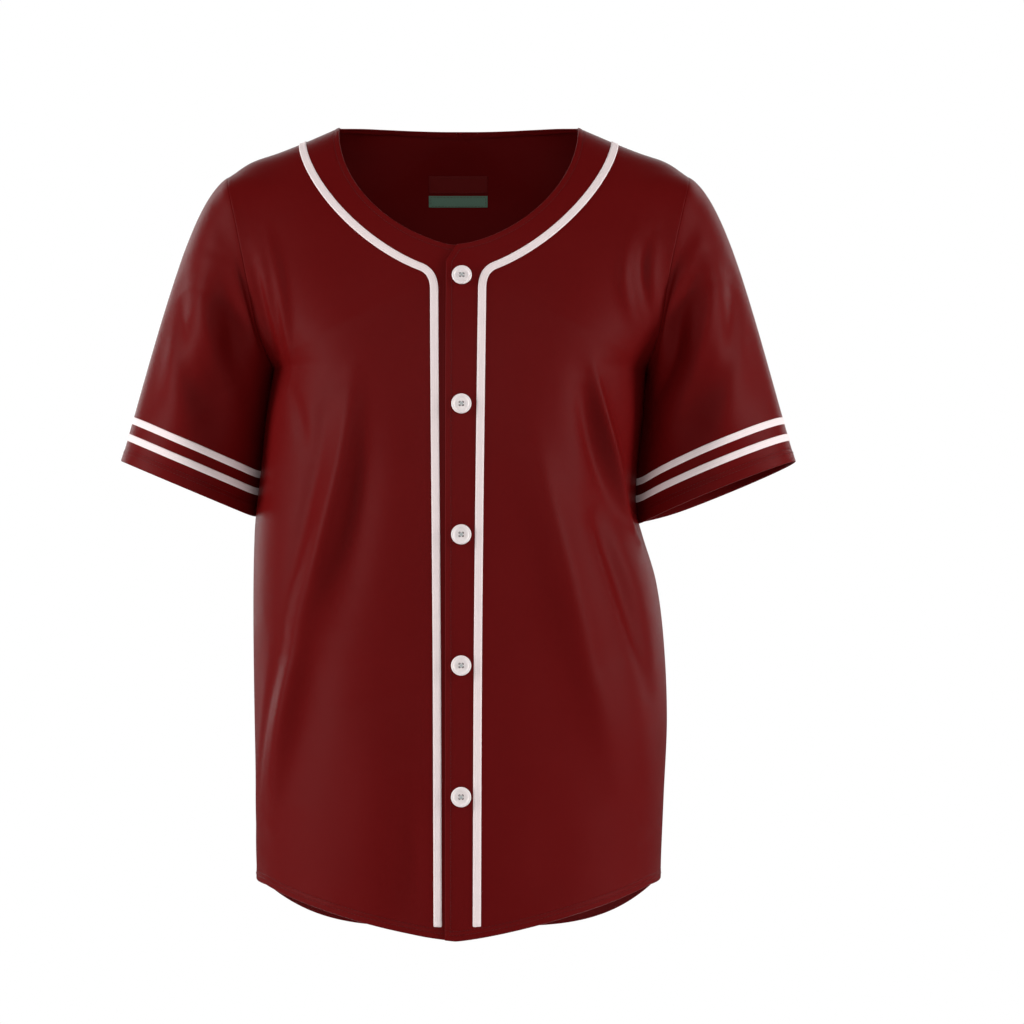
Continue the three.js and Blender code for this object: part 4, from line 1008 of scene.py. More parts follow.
def braid_line():
    """The whole braid's middle points and their normals, from the right hem round to the left hem."""
    right, left = front_braid_line("right")[::-1], front_braid_line("left")
    back_x = BRAID_END["x"] * np.sin(np.linspace(-math.pi / 2, math.pi / 2, BRAID_STEPS["back"])[1:-1])
    hang = (1 - (back_x / BRAID_END["x"]) ** 2) ** BACK_BRAID["power"]
    back_z = BRAID_END["z"] - BACK_BRAID["drop"] * hang
    runs = [
        front_surface("right", right[:, 0], right[:, 1]),
        body_surface("left", "back", back_x, back_z),
        front_surface("left", left[:, 0], left[:, 1]),
    ]
    points, normals = (np.concatenate(group) for group in zip(*runs))
    even = spaced(np.hstack([points, normals]), BRAID["step"])
    return even[:, :3], unit(even[:, 3:])


# %% [markdown]
# The strip is as wide as the braid everywhere, so its edge points start beside the middle line and are then
# dropped onto the cloth along the normal. BVHTree is Blender's fast way to find where a ray meets a mesh.
# The Shrinkwrap modifier does the same, but it would move the strip's top and its edges alike.

# %% Lay the braid on the cloth
def panel_tree(names):
    """A search tree over the outer faces of some panels, in millimetres."""
    points, faces, count = [], [], 0
    for name in names:
        grid = panels[name]["points"]
        rows, columns = grid.shape[:2]
        points.append(grid.reshape(-1, 3))
        faces.append(grid_quads(rows, columns) + count)
        count += rows * columns
    return BVHTree.FromPolygons(np.concatenate(points).tolist(), np.concatenate(faces).tolist())


def drop_onto(tree, points, normals, reach=10):
    """Each point moved along its normal until it lies on the tree's surface."""
    starts = (points + normals * reach).tolist()
    ways = (-normals).tolist()
    hits = [tree.ray_cast(start, way, 2 * reach)[0] for start, way in zip(starts, ways)]
    return np.array([hit if hit else point for hit, point in zip(hits, points.tolist())])


def make_braid():
    """The braid's strip, and its middle line, normals and sideways directions for its stitches."""
    middle, normals = braid_line()
    sideways = unit(np.cross(np.gradient(middle, axis=0), normals))
    offsets = STRIP_SHARES[:, None, None] * BRAID["width"] / 2
    flat = middle[None] + sideways[None] * offsets
    ways = np.broadcast_to(normals, flat.shape)
    tree = panel_tree(["front_right", "front_left", "back_right", "back_left"])
    resting = drop_onto(tree, flat.reshape(-1, 3), ways.reshape(-1, 3)).reshape(flat.shape)
    heights = strip_heights(BRAID["thickness"])[..., None] + 0 * flat[..., :1]
    heights[:, [0, -1]] = TUCK
    points = resting + ways * heights
    along = run_length(middle[None], 1) + 0 * points[..., 0]
    across = offsets[..., 0] + 0 * along
    piece = grid_piece("braid_strip", points, np.stack([across, along], axis=-1), flip=True)
    return piece, points, normals


braid, braid_points, braid_normals = make_braid()
print("braid:", len(braid_normals), "steps, hem to hem")

# %% [markdown]
# ## Stitches
# Each stitch is a short thread that comes up out of the cloth, lies on it and goes down again. All the
# stitches of one line are made at once: centres along the line, then four rings of five points each. A bump
# texture would be cheaper, but it has no shape from the side and blurs close up.

# %% Make lines of stitches
STITCH = {"pitch": 3.1, "length": 2.3, "radius": 0.26}
STITCH_STATIONS = np.array([-0.5, -0.3, 0.3, 0.5])
STITCH_RADII = np.array([0.5, 1, 1, 0.5])
STITCH_HEIGHTS = np.array([-0.5, 0.35, 0.35, -0.5])
STITCH_SIDES = 5


def stitch_points(line, normals, size=1.0):
    """Points of all the stitches along one line, as (stitch, ring, side, xyz)."""
    radius = STITCH["radius"] * size
    length = np.concatenate([[0], np.cumsum(np.linalg.norm(np.diff(line, axis=0), axis=1))])
    count = int(length[-1] / STITCH["pitch"])
    centres = (np.arange(count) + 0.5) * STITCH["pitch"]
    places = centres[:, None] + STITCH_STATIONS * STITCH["length"]

    def read(rows):
        return np.stack([np.interp(places, length, rows[:, i]) for i in range(3)], axis=-1)

    middle, up = read(line), unit(read(normals))
    forward = unit(np.gradient(middle, axis=1))
    side = unit(np.cross(forward, up))
    middle = middle + up * (STITCH_HEIGHTS * radius)[:, None]
    angle = np.arange(STITCH_SIDES) * 2 * math.pi / STITCH_SIDES
    spread = (radius * STITCH_RADII)[:, None, None]
    around = np.cos(angle)[:, None] * side[:, :, None, :] + np.sin(angle)[:, None] * up[:, :, None, :]
    return middle[:, :, None, :] + spread * around


def stitch_piece(name, lines, size=1.0):
    """One mesh of stitches from a list of (line, normals)."""
    blocks = np.concatenate([stitch_points(line, normals, size) for line, normals in lines])
    count, rings, sides = blocks.shape[:3]
    one = grid_quads(rings, sides, wrap=True)
    faces = (one[None] + np.arange(count)[:, None, None] * rings * sides).reshape(-1, 4)
    print(name, "stitches:", count)
    return new_mesh(name, blocks, faces)


def closed_line(line):
    """A loop with its first point again at its end."""
    return np.concatenate([line, line[:1]])


def edge_line(name, key, wanted, axis, rows=np.s_[:]):
    """A line on a panel at a wanted distance from one of its edges, with its normals."""
    panel = panels[name]
    points, normals, distance = panel["points"][rows], panel["normals"][rows], panel[key][rows]
    return line_at(points, distance, wanted, axis), line_at(normals, distance, wanted, axis)


HEM_STITCHES = (5.2, 8.6)
CUFF_STITCHES = (8.6, 12.1)
NECK_STITCH = {"in": 5.1, "front_start": 6, "back_start": 5}
BRAID_STITCH = {"strip_line": 4, "size": 0.8}


def hem_lines(name):
    """The two lines of stitches along a panel's hem."""
    lines = [edge_line(name, "hem", wanted, 0) for wanted in HEM_STITCHES]
    return [(line[:-2], normals[:-2]) for line, normals in lines]


def cuff_lines(name):
    """The two lines of stitches round a cuff."""
    lines = [edge_line(f"sleeve_{name}", "cuff", wanted, 0) for wanted in CUFF_STITCHES]
    return [(closed_line(line), closed_line(normals)) for line, normals in lines]


def edge_stitches(name, first_row):
    """The line of stitches along a panel's opening and neck edge."""
    return [edge_line(name, "inner", NECK_STITCH["in"], 1, np.s_[first_row:-1])]


cloth_stitches = {}
for name in ("front_right", "front_left"):
    lines = hem_lines(name) + edge_stitches(name, NECK_STITCH["front_start"])
    cloth_stitches[name] = stitch_piece(f"{name}_stitches", lines)
lines = []
for name in ("back_right", "back_left"):
    lines += hem_lines(name) + edge_stitches(name, neck_row + NECK_STITCH["back_start"])
cloth_stitches["back"] = stitch_piece("back_stitches", lines)
for name in ("right", "left"):
    cloth_stitches[f"sleeve_{name}"] = stitch_piece(f"sleeve_{name}_stitches", cuff_lines(name))
lines = []
for row in (BRAID_STITCH["strip_line"], -1 - BRAID_STITCH["strip_line"]):
    lines.append((braid_points[row, 2:-2], braid_normals[2:-2]))
braid_stitches = stitch_piece("braid_stitches", lines, BRAID_STITCH["size"])

# %% [markdown]
# ## Buttons
# A four-hole shirt button is turned from a resin sheet: a raised round rim, a shallow dish and four drilled
# holes. The outline is spun round its axis, as on a lathe, which gives truer rings than a bevelled cylinder.
# The holes are cut with a boolean, once for all five buttons. Crossed threads hold each one.

# %% One button
BUTTONS = {"count": 5, "first_z": -141.5, "pitch": 111.6, "x": 4.4, "lift": 0.4}
BUTTON_OUTLINE = (
    (0.0, 0.25), (7.4, 0.0), (8.1, 0.12), (8.45, 0.4), (8.6, 0.85), (8.6, 1.7), (8.47, 2.15), (8.15, 2.46),
    (7.7, 2.6), (7.2, 2.6), (6.75, 2.5), (6.35, 2.26), (6.0, 1.98), (5.6, 1.8), (5.0, 1.7), (0.0, 1.66),
)
HOLE = {"radius": 0.95, "spacing": 2.7, "sides": 24, "depth": 12}
BUTTON_SIDES = 72


def spun(outline, sides):
    """A closed mesh from an outline of (radius, height) pairs that starts and ends on the axis."""
    ring = np.array(outline[1:-1])
    angle = np.arange(sides) * 2 * math.pi / sides
    circle = np.stack([np.cos(angle), np.sin(angle)], axis=-1)
    xy = ring[:, None, :1] * circle[None]
    body = np.concatenate([xy, np.broadcast_to(ring[:, None, 1:], xy.shape[:2] + (1,))], axis=-1)
    points = np.vstack([body.reshape(-1, 3), [[0, 0, outline[0][1]], [0, 0, outline[-1][1]]]])
    quads = grid_quads(len(ring), sides, wrap=True).tolist()
    around = np.arange(sides)
    after = (around + 1) % sides
    top = (len(ring) - 1) * sides
    first = np.stack([after, around, np.full(sides, len(points) - 2)], axis=-1).tolist()
    last = np.stack([around + top, after + top, np.full(sides, len(points) - 1)], axis=-1).tolist()
    return points, quads + first + last


def drilled_button():
    """The button's mesh after its four holes are cut."""
    points, faces = spun(BUTTON_OUTLINE, BUTTON_SIDES)
    blank = bpy.data.meshes.new("button_blank")
    blank.from_pydata((points * MM).tolist(), [], faces)
    button = bpy.data.objects.new("button_blank", blank)
    bpy.context.scene.collection.objects.link(button)
    drill = bmesh.new()
    for sx in (-0.5, 0.5):
        for sy in (-0.5, 0.5):
            made = bmesh.ops.create_cone(
                drill, cap_ends=True, segments=HOLE["sides"], depth=HOLE["depth"] * MM,
                radius1=HOLE["radius"] * MM, radius2=HOLE["radius"] * MM,
            )
            way = (sx * HOLE["spacing"] * MM, sy * HOLE["spacing"] * MM, 0)
            bmesh.ops.translate(drill, vec=way, verts=made["verts"])
    cutter = new_mesh("button_drill", np.zeros((1, 3)), [])
    drill.to_mesh(cutter.data)
    drill.free()
    cut = button.modifiers.new("holes", "BOOLEAN")
    cut.operation, cut.object, cut.solver = "DIFFERENCE", cutter, "EXACT"
    solid = bpy.data.meshes.new_from_object(button.evaluated_get(bpy.context.evaluated_depsgraph_get()))
    for spare in (button, cutter):
        bpy.data.objects.remove(spare)
    return solid


button_mesh = drilled_button()
print("button faces:", len(button_mesh.polygons))

# %% [markdown]
# The threads cross between opposite holes. Each is a small tube that rises out of one hole, lies over the
# dish and goes down the other, with three strands side by side.

# %% Threads, and the five buttons in place
THREAD = {"radius": 0.3, "strands": (-0.42, 0.0, 0.42), "rings": 13, "sides": 8}
THREAD_PATH = {"reach": 1.12, "spread": 0.7, "height": 1.95, "crossing": 0.32, "crown": 0.15, "drop": 1.3}


def tube(path, radius, sides):
    """A round tube along a path in space, as a grid of points."""
    forward = unit(np.gradient(path, axis=0))
    side = unit(np.cross(forward, [0.1, 0.2, 1.0]))
    up = np.cross(side, forward)
    angle = (np.arange(sides) * 2 * math.pi / sides)[None, :, None]
    return path[:, None] + radius * (np.cos(angle) * side[:, None] + np.sin(angle) * up[:, None])


def button_threads():
    """The crossed threads on one button at the origin."""
    t = np.linspace(-1, 1, THREAD["rings"])
    half = HOLE["spacing"] / 2
    tubes = []
    for turn, rise in ((1, 0.0), (-1, THREAD_PATH["crossing"])):
        z = THREAD_PATH["height"] + rise * (1 - t**2) + THREAD_PATH["crown"] * (1 - t**4)
        z = z - THREAD_PATH["drop"] * np.abs(t) ** 14
        for offset in THREAD["strands"]:
            run = half * THREAD_PATH["reach"] * t
            bulge = offset * (1 - t**2) * THREAD_PATH["spread"]
            x = run + bulge * turn
            y = turn * run - bulge
            tubes.append(tube(np.stack([x, y, z], axis=-1), THREAD["radius"], THREAD["sides"]))
    grids = np.stack(tubes)
    one = grid_quads(grids.shape[1], grids.shape[2], wrap=True)
    faces = one[None] + np.arange(len(tubes))[:, None, None] * grids.shape[1] * grids.shape[2]
    return grids.reshape(-1, 3), faces.reshape(-1, 4)


def place_on_front(points, number):
    """Moves points made round the origin onto the left front at one button's place."""
    z = np.array(BUTTONS["first_z"] - number * BUTTONS["pitch"])
    base, normal = front_surface("left", np.array(BUTTONS["x"], float), z)
    across = unit(np.cross([0.0, 0.0, 1.0], normal))
    upright = np.cross(normal, across)
    turned = points @ np.stack([across, upright, normal])
    return turned + base + normal * BUTTONS["lift"]


buttons, threads = {}, {}
blank_points = np.empty(len(button_mesh.vertices) * 3)
button_mesh.vertices.foreach_get("co", blank_points)
blank_points = blank_points.reshape(-1, 3) / MM
thread_points, thread_faces = button_threads()
for number in range(BUTTONS["count"]):
    mesh = button_mesh.copy()
    mesh.vertices.foreach_set("co", (place_on_front(blank_points, number) * MM).ravel())
    button = bpy.data.objects.new(f"button_{number + 1}_turned", mesh)
    bpy.context.scene.collection.objects.link(button)
    buttons[f"button_{number + 1}"] = button
    threads[f"button_{number + 1}"] = new_mesh(
        f"button_{number + 1}_thread", place_on_front(thread_points, number), thread_faces
    )
print("buttons:", len(buttons), "thread faces on each:", len(thread_faces))

# %% [markdown]
# ## The neck patches
# A woven patch and a narrower bar are sewn inside the back of the neck. Both are left bare here. They lie on
# the inner face of the back, so their points are the back's own, moved in by the cloth's thickness.

# %% Make the patches
LABELS = {
    "neck_label": {"x": -2.5, "half_width": 27.5, "top": -33, "bottom": -48.5},
    "neck_size_bar": {"x": -2.5, "half_width": 27.5, "top": -50.5, "bottom": -61},
}
PATCH = {"thickness": 0.5, "gap": 0.15, "columns": 56, "rows": 20}
PATCH_EDGE = {"puff": 0.12, "puff_to": 1.2, "dip": 0.14, "dip_in": 1.5, "dip_width": 0.6, "stitch_size": 0.6}


def make_patch(name):
    """One patch: a thin sheet with a soft rounded border, on the inside of the back."""
    size = LABELS[name]
    x = size["x"] + np.linspace(-1, 1, PATCH["columns"])[None, :] * size["half_width"]
    z = np.linspace(size["bottom"], size["top"], PATCH["rows"])[:, None]
    x, z = x + 0 * z, z + 0 * x
    surface, normals = body_surface("left", "back", x, z)
    from_side = size["half_width"] - np.abs(x - size["x"])
    border = np.minimum(from_side, np.minimum(size["top"] - z, z - size["bottom"]))
    puff = PATCH_EDGE["puff"] * ease(border, 0, PATCH_EDGE["puff_to"])
    puff -= PATCH_EDGE["dip"] * bell(border - PATCH_EDGE["dip_in"], PATCH_EDGE["dip_width"])
    points = surface - normals * (CLOTH_THICKNESS + PATCH["gap"] + PATCH["thickness"] + puff)[..., None]
    uv = np.stack([x - size["x"], z], axis=-1)
    piece = grid_piece(f"{name}_patch", points, uv)
    wall = piece.modifiers.new("wall", "SOLIDIFY")
    wall.thickness = PATCH["thickness"] * MM
    wall.offset = -1
    frame_line = np.concatenate([points[2, 2:-2], points[2:-2, -3], points[-3, -3:1:-1], points[-3:1:-1, 2]])
    ways = np.broadcast_to(-normals[0, 0], frame_line.shape)
    return piece, stitch_piece(f"{name}_stitches", [(frame_line, ways)], PATCH_EDGE["stitch_size"])


patches = {name: make_patch(name) for name in LABELS}
print("patches:", ", ".join(patches))

# %% [markdown]
# ## Materials
# The cloth is a double knit: columns of small V-shaped stitches, about 1 mm apart, in dark red polyester.
# Each pattern is a node group that only puts out a height and a painted shade, darker where its threads lie
# low and shadow falls, so that one group can serve several materials. The UV map holds metres, so the groups
# first turn it into millimetres. A tiled picture of knit would do from far off, but a pattern that is worked
# out stays sharp and never shows its tile.

# %% Node helpers
SOCKET_KINDS = {"Place": "NodeSocketVector"}


def new_group(name, inputs, outputs):
    """A node group with named sockets and nothing between them yet. A place is a vector, the rest numbers."""
    group = bpy.data.node_groups.new(name, "ShaderNodeTree")
    for way, labels in (("INPUT", inputs), ("OUTPUT", outputs)):
        for label in labels:
            kind = SOCKET_KINDS.get(label, "NodeSocketFloat")
            group.interface.new_socket(label, in_out=way, socket_type=kind)
    return group, group.nodes.new("NodeGroupInput"), group.nodes.new("NodeGroupOutput")


def calculate(tree, operation, *values):
    """One math node. Each value is a number or another node's output."""
    node = tree.nodes.new("ShaderNodeMath")
    node.operation = operation
    for socket, value in zip(node.inputs, values):
        if isinstance(value, (int, float)):
            socket.default_value = value
        else:
            tree.links.new(value, socket)
    return node.outputs[0]


def scaled(tree, value, factor, offset):
    """A value times a factor, plus an offset."""
    return calculate(tree, "ADD", calculate(tree, "MULTIPLY", value, factor), offset)


def zigzag(tree, value):
    """0 at each whole number and 1 halfway to the next."""
    return calculate(tree, "MULTIPLY", calculate(tree, "PINGPONG", value, 0.5), 2)


def arch(tree, value, power=2):
    """1 where the value is 0 and 0 where it is 1: the square root of 1 minus the value to a power."""
    return calculate(tree, "SQRT", calculate(tree, "SUBTRACT", 1, calculate(tree, "POWER", value, power)))


def split_millimetres(tree, vector):
    """The x and y of a vector in metres, as millimetres."""
    split = tree.nodes.new("ShaderNodeSeparateXYZ")
    tree.links.new(vector, split.inputs[0])
    return [calculate(tree, "MULTIPLY", split.outputs[axis], 1000) for axis in ("X", "Y")]


def finish_pattern(group, exit_node, height, contrast, darkest):
    """Puts out a pattern's height, and a painted shade: darkest where the pattern is low, lighter with the
    height.
    """
    group.links.new(height, exit_node.inputs["Height"])
    group.links.new(scaled(group, height, contrast, darkest), exit_node.inputs["Shade"])
    return group


def noise(tree, vector, scale, detail=3.0):
    """A noise node's value."""
    node = tree.nodes.new("ShaderNodeTexNoise")
    node.inputs["Scale"].default_value = scale
    node.inputs["Detail"].default_value = detail
    tree.links.new(vector, node.inputs["Vector"])
    return node.outputs["Fac"]


# %% The knit, the braid and the woven patch
KNIT = {"wale": 1.05, "course": 0.82, "slant": 0.55}
PLAIT = {"pitch": 1.25, "slant": 0.75, "groove": 0.35}
WEAVE = {"warp": 0.32, "weft": 0.42}


def knit_group():
    """Columns of stitches. Height is 0 to 1; Shade is painted shade: near 1 on the loops, darker between
    them.
    """
    group, entry, exit_node = new_group("double_knit", ["Place"], ["Height", "Shade"])
    u, v = split_millimetres(group, entry.outputs["Place"])
    away = zigzag(group, calculate(group, "DIVIDE", u, KNIT["wale"]))
    rib = arch(group, away, 2.2)
    slant = calculate(group, "MULTIPLY", away, KNIT["slant"])
    course = calculate(group, "ADD", calculate(group, "DIVIDE", v, KNIT["course"]), slant)
    loop = arch(group, zigzag(group, course))
    loop_part = calculate(group, "MULTIPLY", loop, 0.4)
    height = calculate(group, "ADD", calculate(group, "MULTIPLY", rib, 0.6), loop_part)
    return finish_pattern(group, exit_node, height, contrast=0.22, darkest=0.82)


def braid_group():
    """A flat plaited braid: two halves of slanting threads that meet in the middle like a herringbone."""
    group, entry, exit_node = new_group("plaited_braid", ["Place"], ["Height", "Shade"])
    u, v = split_millimetres(group, entry.outputs["Place"])
    from_middle = calculate(group, "ABSOLUTE", u)
    slant = calculate(group, "MULTIPLY", from_middle, PLAIT["slant"])
    turn = calculate(group, "DIVIDE", calculate(group, "ADD", v, slant), PLAIT["pitch"])
    thread = arch(group, zigzag(group, turn))
    middle = calculate(group, "MINIMUM", calculate(group, "DIVIDE", from_middle, PLAIT["groove"]), 1)
    height = calculate(group, "MULTIPLY", thread, scaled(group, middle, 0.5, 0.5))
    # Shade is painted shade: darker where the threads dip and in the middle groove.
    return finish_pattern(group, exit_node, height, contrast=0.18, darkest=0.84)


def patch_group():
    """A woven patch: fine crossing threads, over and under like a chessboard."""
    group, entry, exit_node = new_group("woven_patch", ["Place"], ["Height", "Shade"])
    u, v = split_millimetres(group, entry.outputs["Place"])
    warp = calculate(group, "SINE", calculate(group, "MULTIPLY", u, math.pi / WEAVE["warp"]))
    weft = calculate(group, "SINE", calculate(group, "MULTIPLY", v, math.pi / WEAVE["weft"]))
    height = scaled(group, calculate(group, "MULTIPLY", warp, weft), 0.5, 0.5)
    # Shade is painted shade: darker where each thread dips under the other.
    return finish_pattern(group, exit_node, height, contrast=0.2, darkest=0.85)


# %% [markdown]
# Dye never takes evenly, and handling dulls the cloth in places. Slow clouds and fine specks of noise show
# that. They are one more node group, as every fabric here needs them, each with its own amount.

# %% Uneven dye
SLOW_NOISE = {"scale": 14, "detail": 4}
FINE_NOISE = {"scale": 900, "detail": 2}


def dye_group():
    """Clouds times specks, each 1 on average and spread by the amount. Slow is the clouds' own value."""
    group, entry, exit_node = new_group("uneven_dye", ["Place", "Amount"], ["Shade", "Slow"])
    amount = entry.outputs["Amount"]
    lowest = calculate(group, "SUBTRACT", 1, calculate(group, "MULTIPLY", amount, 0.5))
    slow = noise(group, entry.outputs["Place"], **SLOW_NOISE)
    fine = noise(group, entry.outputs["Place"], **FINE_NOISE)
    clouds, specks = (scaled(group, value, amount, lowest) for value in (slow, fine))
    group.links.new(calculate(group, "MULTIPLY", clouds, specks), exit_node.inputs["Shade"])
    group.links.new(slow, exit_node.inputs["Slow"])
    return group


def placed_group(tree, group, place):
    """A group's node in a material, laid out by a place."""
    node = tree.nodes.new("ShaderNodeGroup")
    node.node_tree = group
    tree.links.new(place, node.inputs["Place"])
    return node


# %% [markdown]
# A fabric material takes its colour times the pattern's painted shade and the dye's uneven tone, and a bump
# from the pattern's height. Polyester has a soft sheen at grazing angles, from the fine hairs and the round
# threads. The values that are even all over are set on the shader itself.

# %% Fabric materials
ROUGHNESS_SPREAD = 0.14
FABRIC_BUMP = 0.6
SHEEN = {"roughness": 0.45, "tint": (1, 0.62, 0.6, 1)}


def new_material(name):
    """A material, its node tree, its shader and the node that says where a point lies."""
    material = bpy.data.materials.new(name)
    material.use_nodes = True
    tree = material.node_tree
    return material, tree, tree.nodes["Principled BSDF"], tree.nodes.new("ShaderNodeTexCoord")


def mixed_color(tree, factor, dark, light):
    """A colour between dark and light."""
    node = tree.nodes.new("ShaderNodeMix")
    node.data_type = "RGBA"
    node.inputs[6].default_value = (*dark, 1)
    node.inputs[7].default_value = (*light, 1)
    tree.links.new(factor, node.inputs["Factor"])
    return node.outputs[2]


def add_bump(tree, shader, height, depth_mm, strength=1.0):
    """Makes a height show as small bumps on the surface."""
    bump = tree.nodes.new("ShaderNodeBump")
    bump.inputs["Strength"].default_value = strength
    bump.inputs["Distance"].default_value = depth_mm * MM
    tree.links.new(height, bump.inputs["Height"])
    tree.links.new(bump.outputs["Normal"], shader.inputs["Normal"])


def fabric_material(name, color, pattern, bump_mm, roughness, sheen=0.0, specular=0.4, uneven=0.12):
    """A fabric with a pattern group, uneven dye in colour and roughness, the pattern's painted shade, and a
    bump.
    """
    material, tree, shader, place = new_material(name)
    weave = placed_group(tree, pattern, place.outputs["UV"])
    dye = placed_group(tree, uneven_dye, place.outputs["Object"])
    dye.inputs["Amount"].default_value = uneven
    # The dye's uneven tone times the pattern's painted shade between the threads.
    shade = calculate(tree, "MULTIPLY", dye.outputs["Shade"], weave.outputs["Shade"])
    tint = tree.nodes.new("ShaderNodeMix")
    tint.data_type, tint.blend_type = "RGBA", "MULTIPLY"
    tint.inputs["Factor"].default_value = 1
    tint.inputs[6].default_value = (*color, 1)
    tree.links.new(shade, tint.inputs[7])
    tree.links.new(tint.outputs[2], shader.inputs["Base Color"])
    rough = scaled(tree, dye.outputs["Slow"], ROUGHNESS_SPREAD, roughness - ROUGHNESS_SPREAD / 2)
    tree.links.new(rough, shader.inputs["Roughness"])
    add_bump(tree, shader, weave.outputs["Height"], bump_mm, FABRIC_BUMP)
    shader.inputs["Specular IOR Level"].default_value = specular
    shader.inputs["Sheen Weight"].default_value = sheen
    shader.inputs["Sheen Roughness"].default_value = SHEEN["roughness"]
    shader.inputs["Sheen Tint"].default_value = SHEEN["tint"]
    return material


# %% Thread and button materials
THREAD_NOISE = {"scale": 2600, "detail": 2}
SEWING_THREAD = {"darker": 0.8, "bump": 0.05, "roughness": 0.5, "specular": 0.15}
RESIN_CLOUD = {"scale": 160, "detail": 3}
RESIN_MARKS = {"scale": 1500, "detail": 2}
RESIN = {"roughness": 0.2, "roughness_spread": 0.16, "glow": 0.12, "glow_reach": (0.002, 0.0016, 0.0014)}


def thread_material(name, color):
    """Plain sewing thread: fine specks of light and dark, with a little shine."""
    material, tree, shader, place = new_material(name)
    fine = noise(tree, place.outputs["Object"], **THREAD_NOISE)
    dark = [SEWING_THREAD["darker"] * part for part in color]
    tree.links.new(mixed_color(tree, fine, dark, color), shader.inputs["Base Color"])
    add_bump(tree, shader, fine, SEWING_THREAD["bump"])
    shader.inputs["Roughness"].default_value = SEWING_THREAD["roughness"]
    shader.inputs["Specular IOR Level"].default_value = SEWING_THREAD["specular"]
    return material


def resin_material():
    """White polyester resin: a faint cloudiness, a gloss and fine turning marks."""
    material, tree, shader, place = new_material("button_resin")
    cloud = noise(tree, place.outputs["Object"], **RESIN_CLOUD)
    marks = noise(tree, place.outputs["Object"], **RESIN_MARKS)
    tree.links.new(mixed_color(tree, cloud, BUTTON_DARK, BUTTON_LIGHT), shader.inputs["Base Color"])
    rough = scaled(tree, marks, RESIN["roughness_spread"], RESIN["roughness"])
    tree.links.new(rough, shader.inputs["Roughness"])
    shader.inputs["Subsurface Weight"].default_value = RESIN["glow"]
    shader.inputs["Subsurface Radius"].default_value = RESIN["glow_reach"]
    return material


# %% Colours and materials of the jersey
CLOTH_RED = (0.113, 0.0031, 0.0033)
THREAD_RED = (0.1, 0.0035, 0.004)
# The trim's white is painted a little pink: a painted reflection of the red cloth around it.
TRIM_WHITE_PAINTED_PINK = (0.92, 0.79, 0.785)
BUTTON_LIGHT = (0.9, 0.81, 0.8)
BUTTON_DARK = (0.8, 0.72, 0.71)
# The button thread is white, painted mid-grey: a painted shade for the darker middle of each button, where
# the dish and holes lie in shadow.
BUTTON_THREAD_PAINTED_GREY = (0.5, 0.52, 0.52)
PATCH_RED = (0.13, 0.006, 0.0055)
PATCH_GREEN = (0.13, 0.225, 0.165)

knit, plait, weave, uneven_dye = knit_group(), braid_group(), patch_group(), dye_group()
knit_cloth = fabric_material("knit_cloth", CLOTH_RED, knit, bump_mm=0.16, roughness=0.41, specular=0.045)
braid_cloth = fabric_material(
    "white_braid", TRIM_WHITE_PAINTED_PINK, plait, bump_mm=0.25, roughness=0.7, sheen=0.05, specular=0.3, uneven=0.06
)
patch_cloth = fabric_material("patch_red", PATCH_RED, weave, bump_mm=0.08, roughness=0.6, specular=0.1)
bar_cloth = fabric_material("patch_green", PATCH_GREEN, weave, bump_mm=0.08, roughness=0.6, specular=0.1)
red_thread = thread_material("red_thread", THREAD_RED)
white_thread = thread_material("white_thread", TRIM_WHITE_PAINTED_PINK)
button_thread = thread_material("button_thread", BUTTON_THREAD_PAINTED_GREY)
resin = resin_material()
print("materials:", ", ".join(material.name for material in bpy.data.materials))

# %% [markdown]
# ## Put each piece in its place in the library's frame
# Every piece rides on the one body, takes its finish and hides the solid that it stands for.
# Each cloth piece states the flat cut it was sewn from.

# %% Dress the nodes
def dress(piece, material, node=None):
    """Gives a piece its material and body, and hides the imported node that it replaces."""
    piece.data.materials.clear()
    piece.data.materials.append(material)
    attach(piece, "root")
    if node:
        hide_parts(node)


for name, piece in cloth.items():
    dress(piece, knit_cloth, name)
    dress(cloth_stitches[name], red_thread)
dress(braid, braid_cloth, "braid")
dress(braid_stitches, white_thread)
for name, piece in stripes.items():
    dress(piece, braid_cloth, name)
for name, piece in buttons.items():
    dress(piece, resin, name)
    dress(threads[name], button_thread)
for name, (piece, stitches) in patches.items():
    material, slot = (patch_cloth, "label") if name == "neck_label" else (bar_cloth, "label_bar")
    dress(piece, material, name)
    dress(stitches, red_thread)


# %% State each cut
def flat_area(points, wrap=False):
    """The area of a grid of points in square metres, as two triangles a quad."""
    grid = np.concatenate([points, points[:, :1]], axis=1) if wrap else points
    a, b, c, d = grid[:-1, :-1], grid[:-1, 1:], grid[1:, 1:], grid[1:, :-1]
    first = np.linalg.norm(np.cross(b - a, c - a), axis=-1)
    second = np.linalg.norm(np.cross(c - a, d - a), axis=-1)
    return float((first + second).sum() / 2) * MM * MM


def declare_sheet(name):
    """Says how large a piece of cloth was cut. A sleeve is measured all round, and the back all across."""
    grids = [panels[key] for key in panels if key.startswith(name)]
    width = sum(float(np.ptp(grid["uv"][..., 0], axis=1).max()) for grid in grids) * MM
    length = max(float(np.ptp(grid["uv"][..., 1], axis=0).max()) for grid in grids) * MM
    area = sum(flat_area(grid["points"], "sleeve" in name) for grid in grids)
    filled = area / width / length
    print(f"{name}: cut {width:.3f} by {length:.3f} m, {area:.4f} m2, {filled:.2f} of the rectangle")


declare_sheet("front_left")
declare_sheet("front_right")
on_back = [cloth_stitches["back"], braid, braid_stitches]
for piece, stitches in patches.values():
    on_back += [piece, stitches]
declare_sheet("back")
for side in ("right", "left"):
    declare_sheet(f"sleeve_{side}")

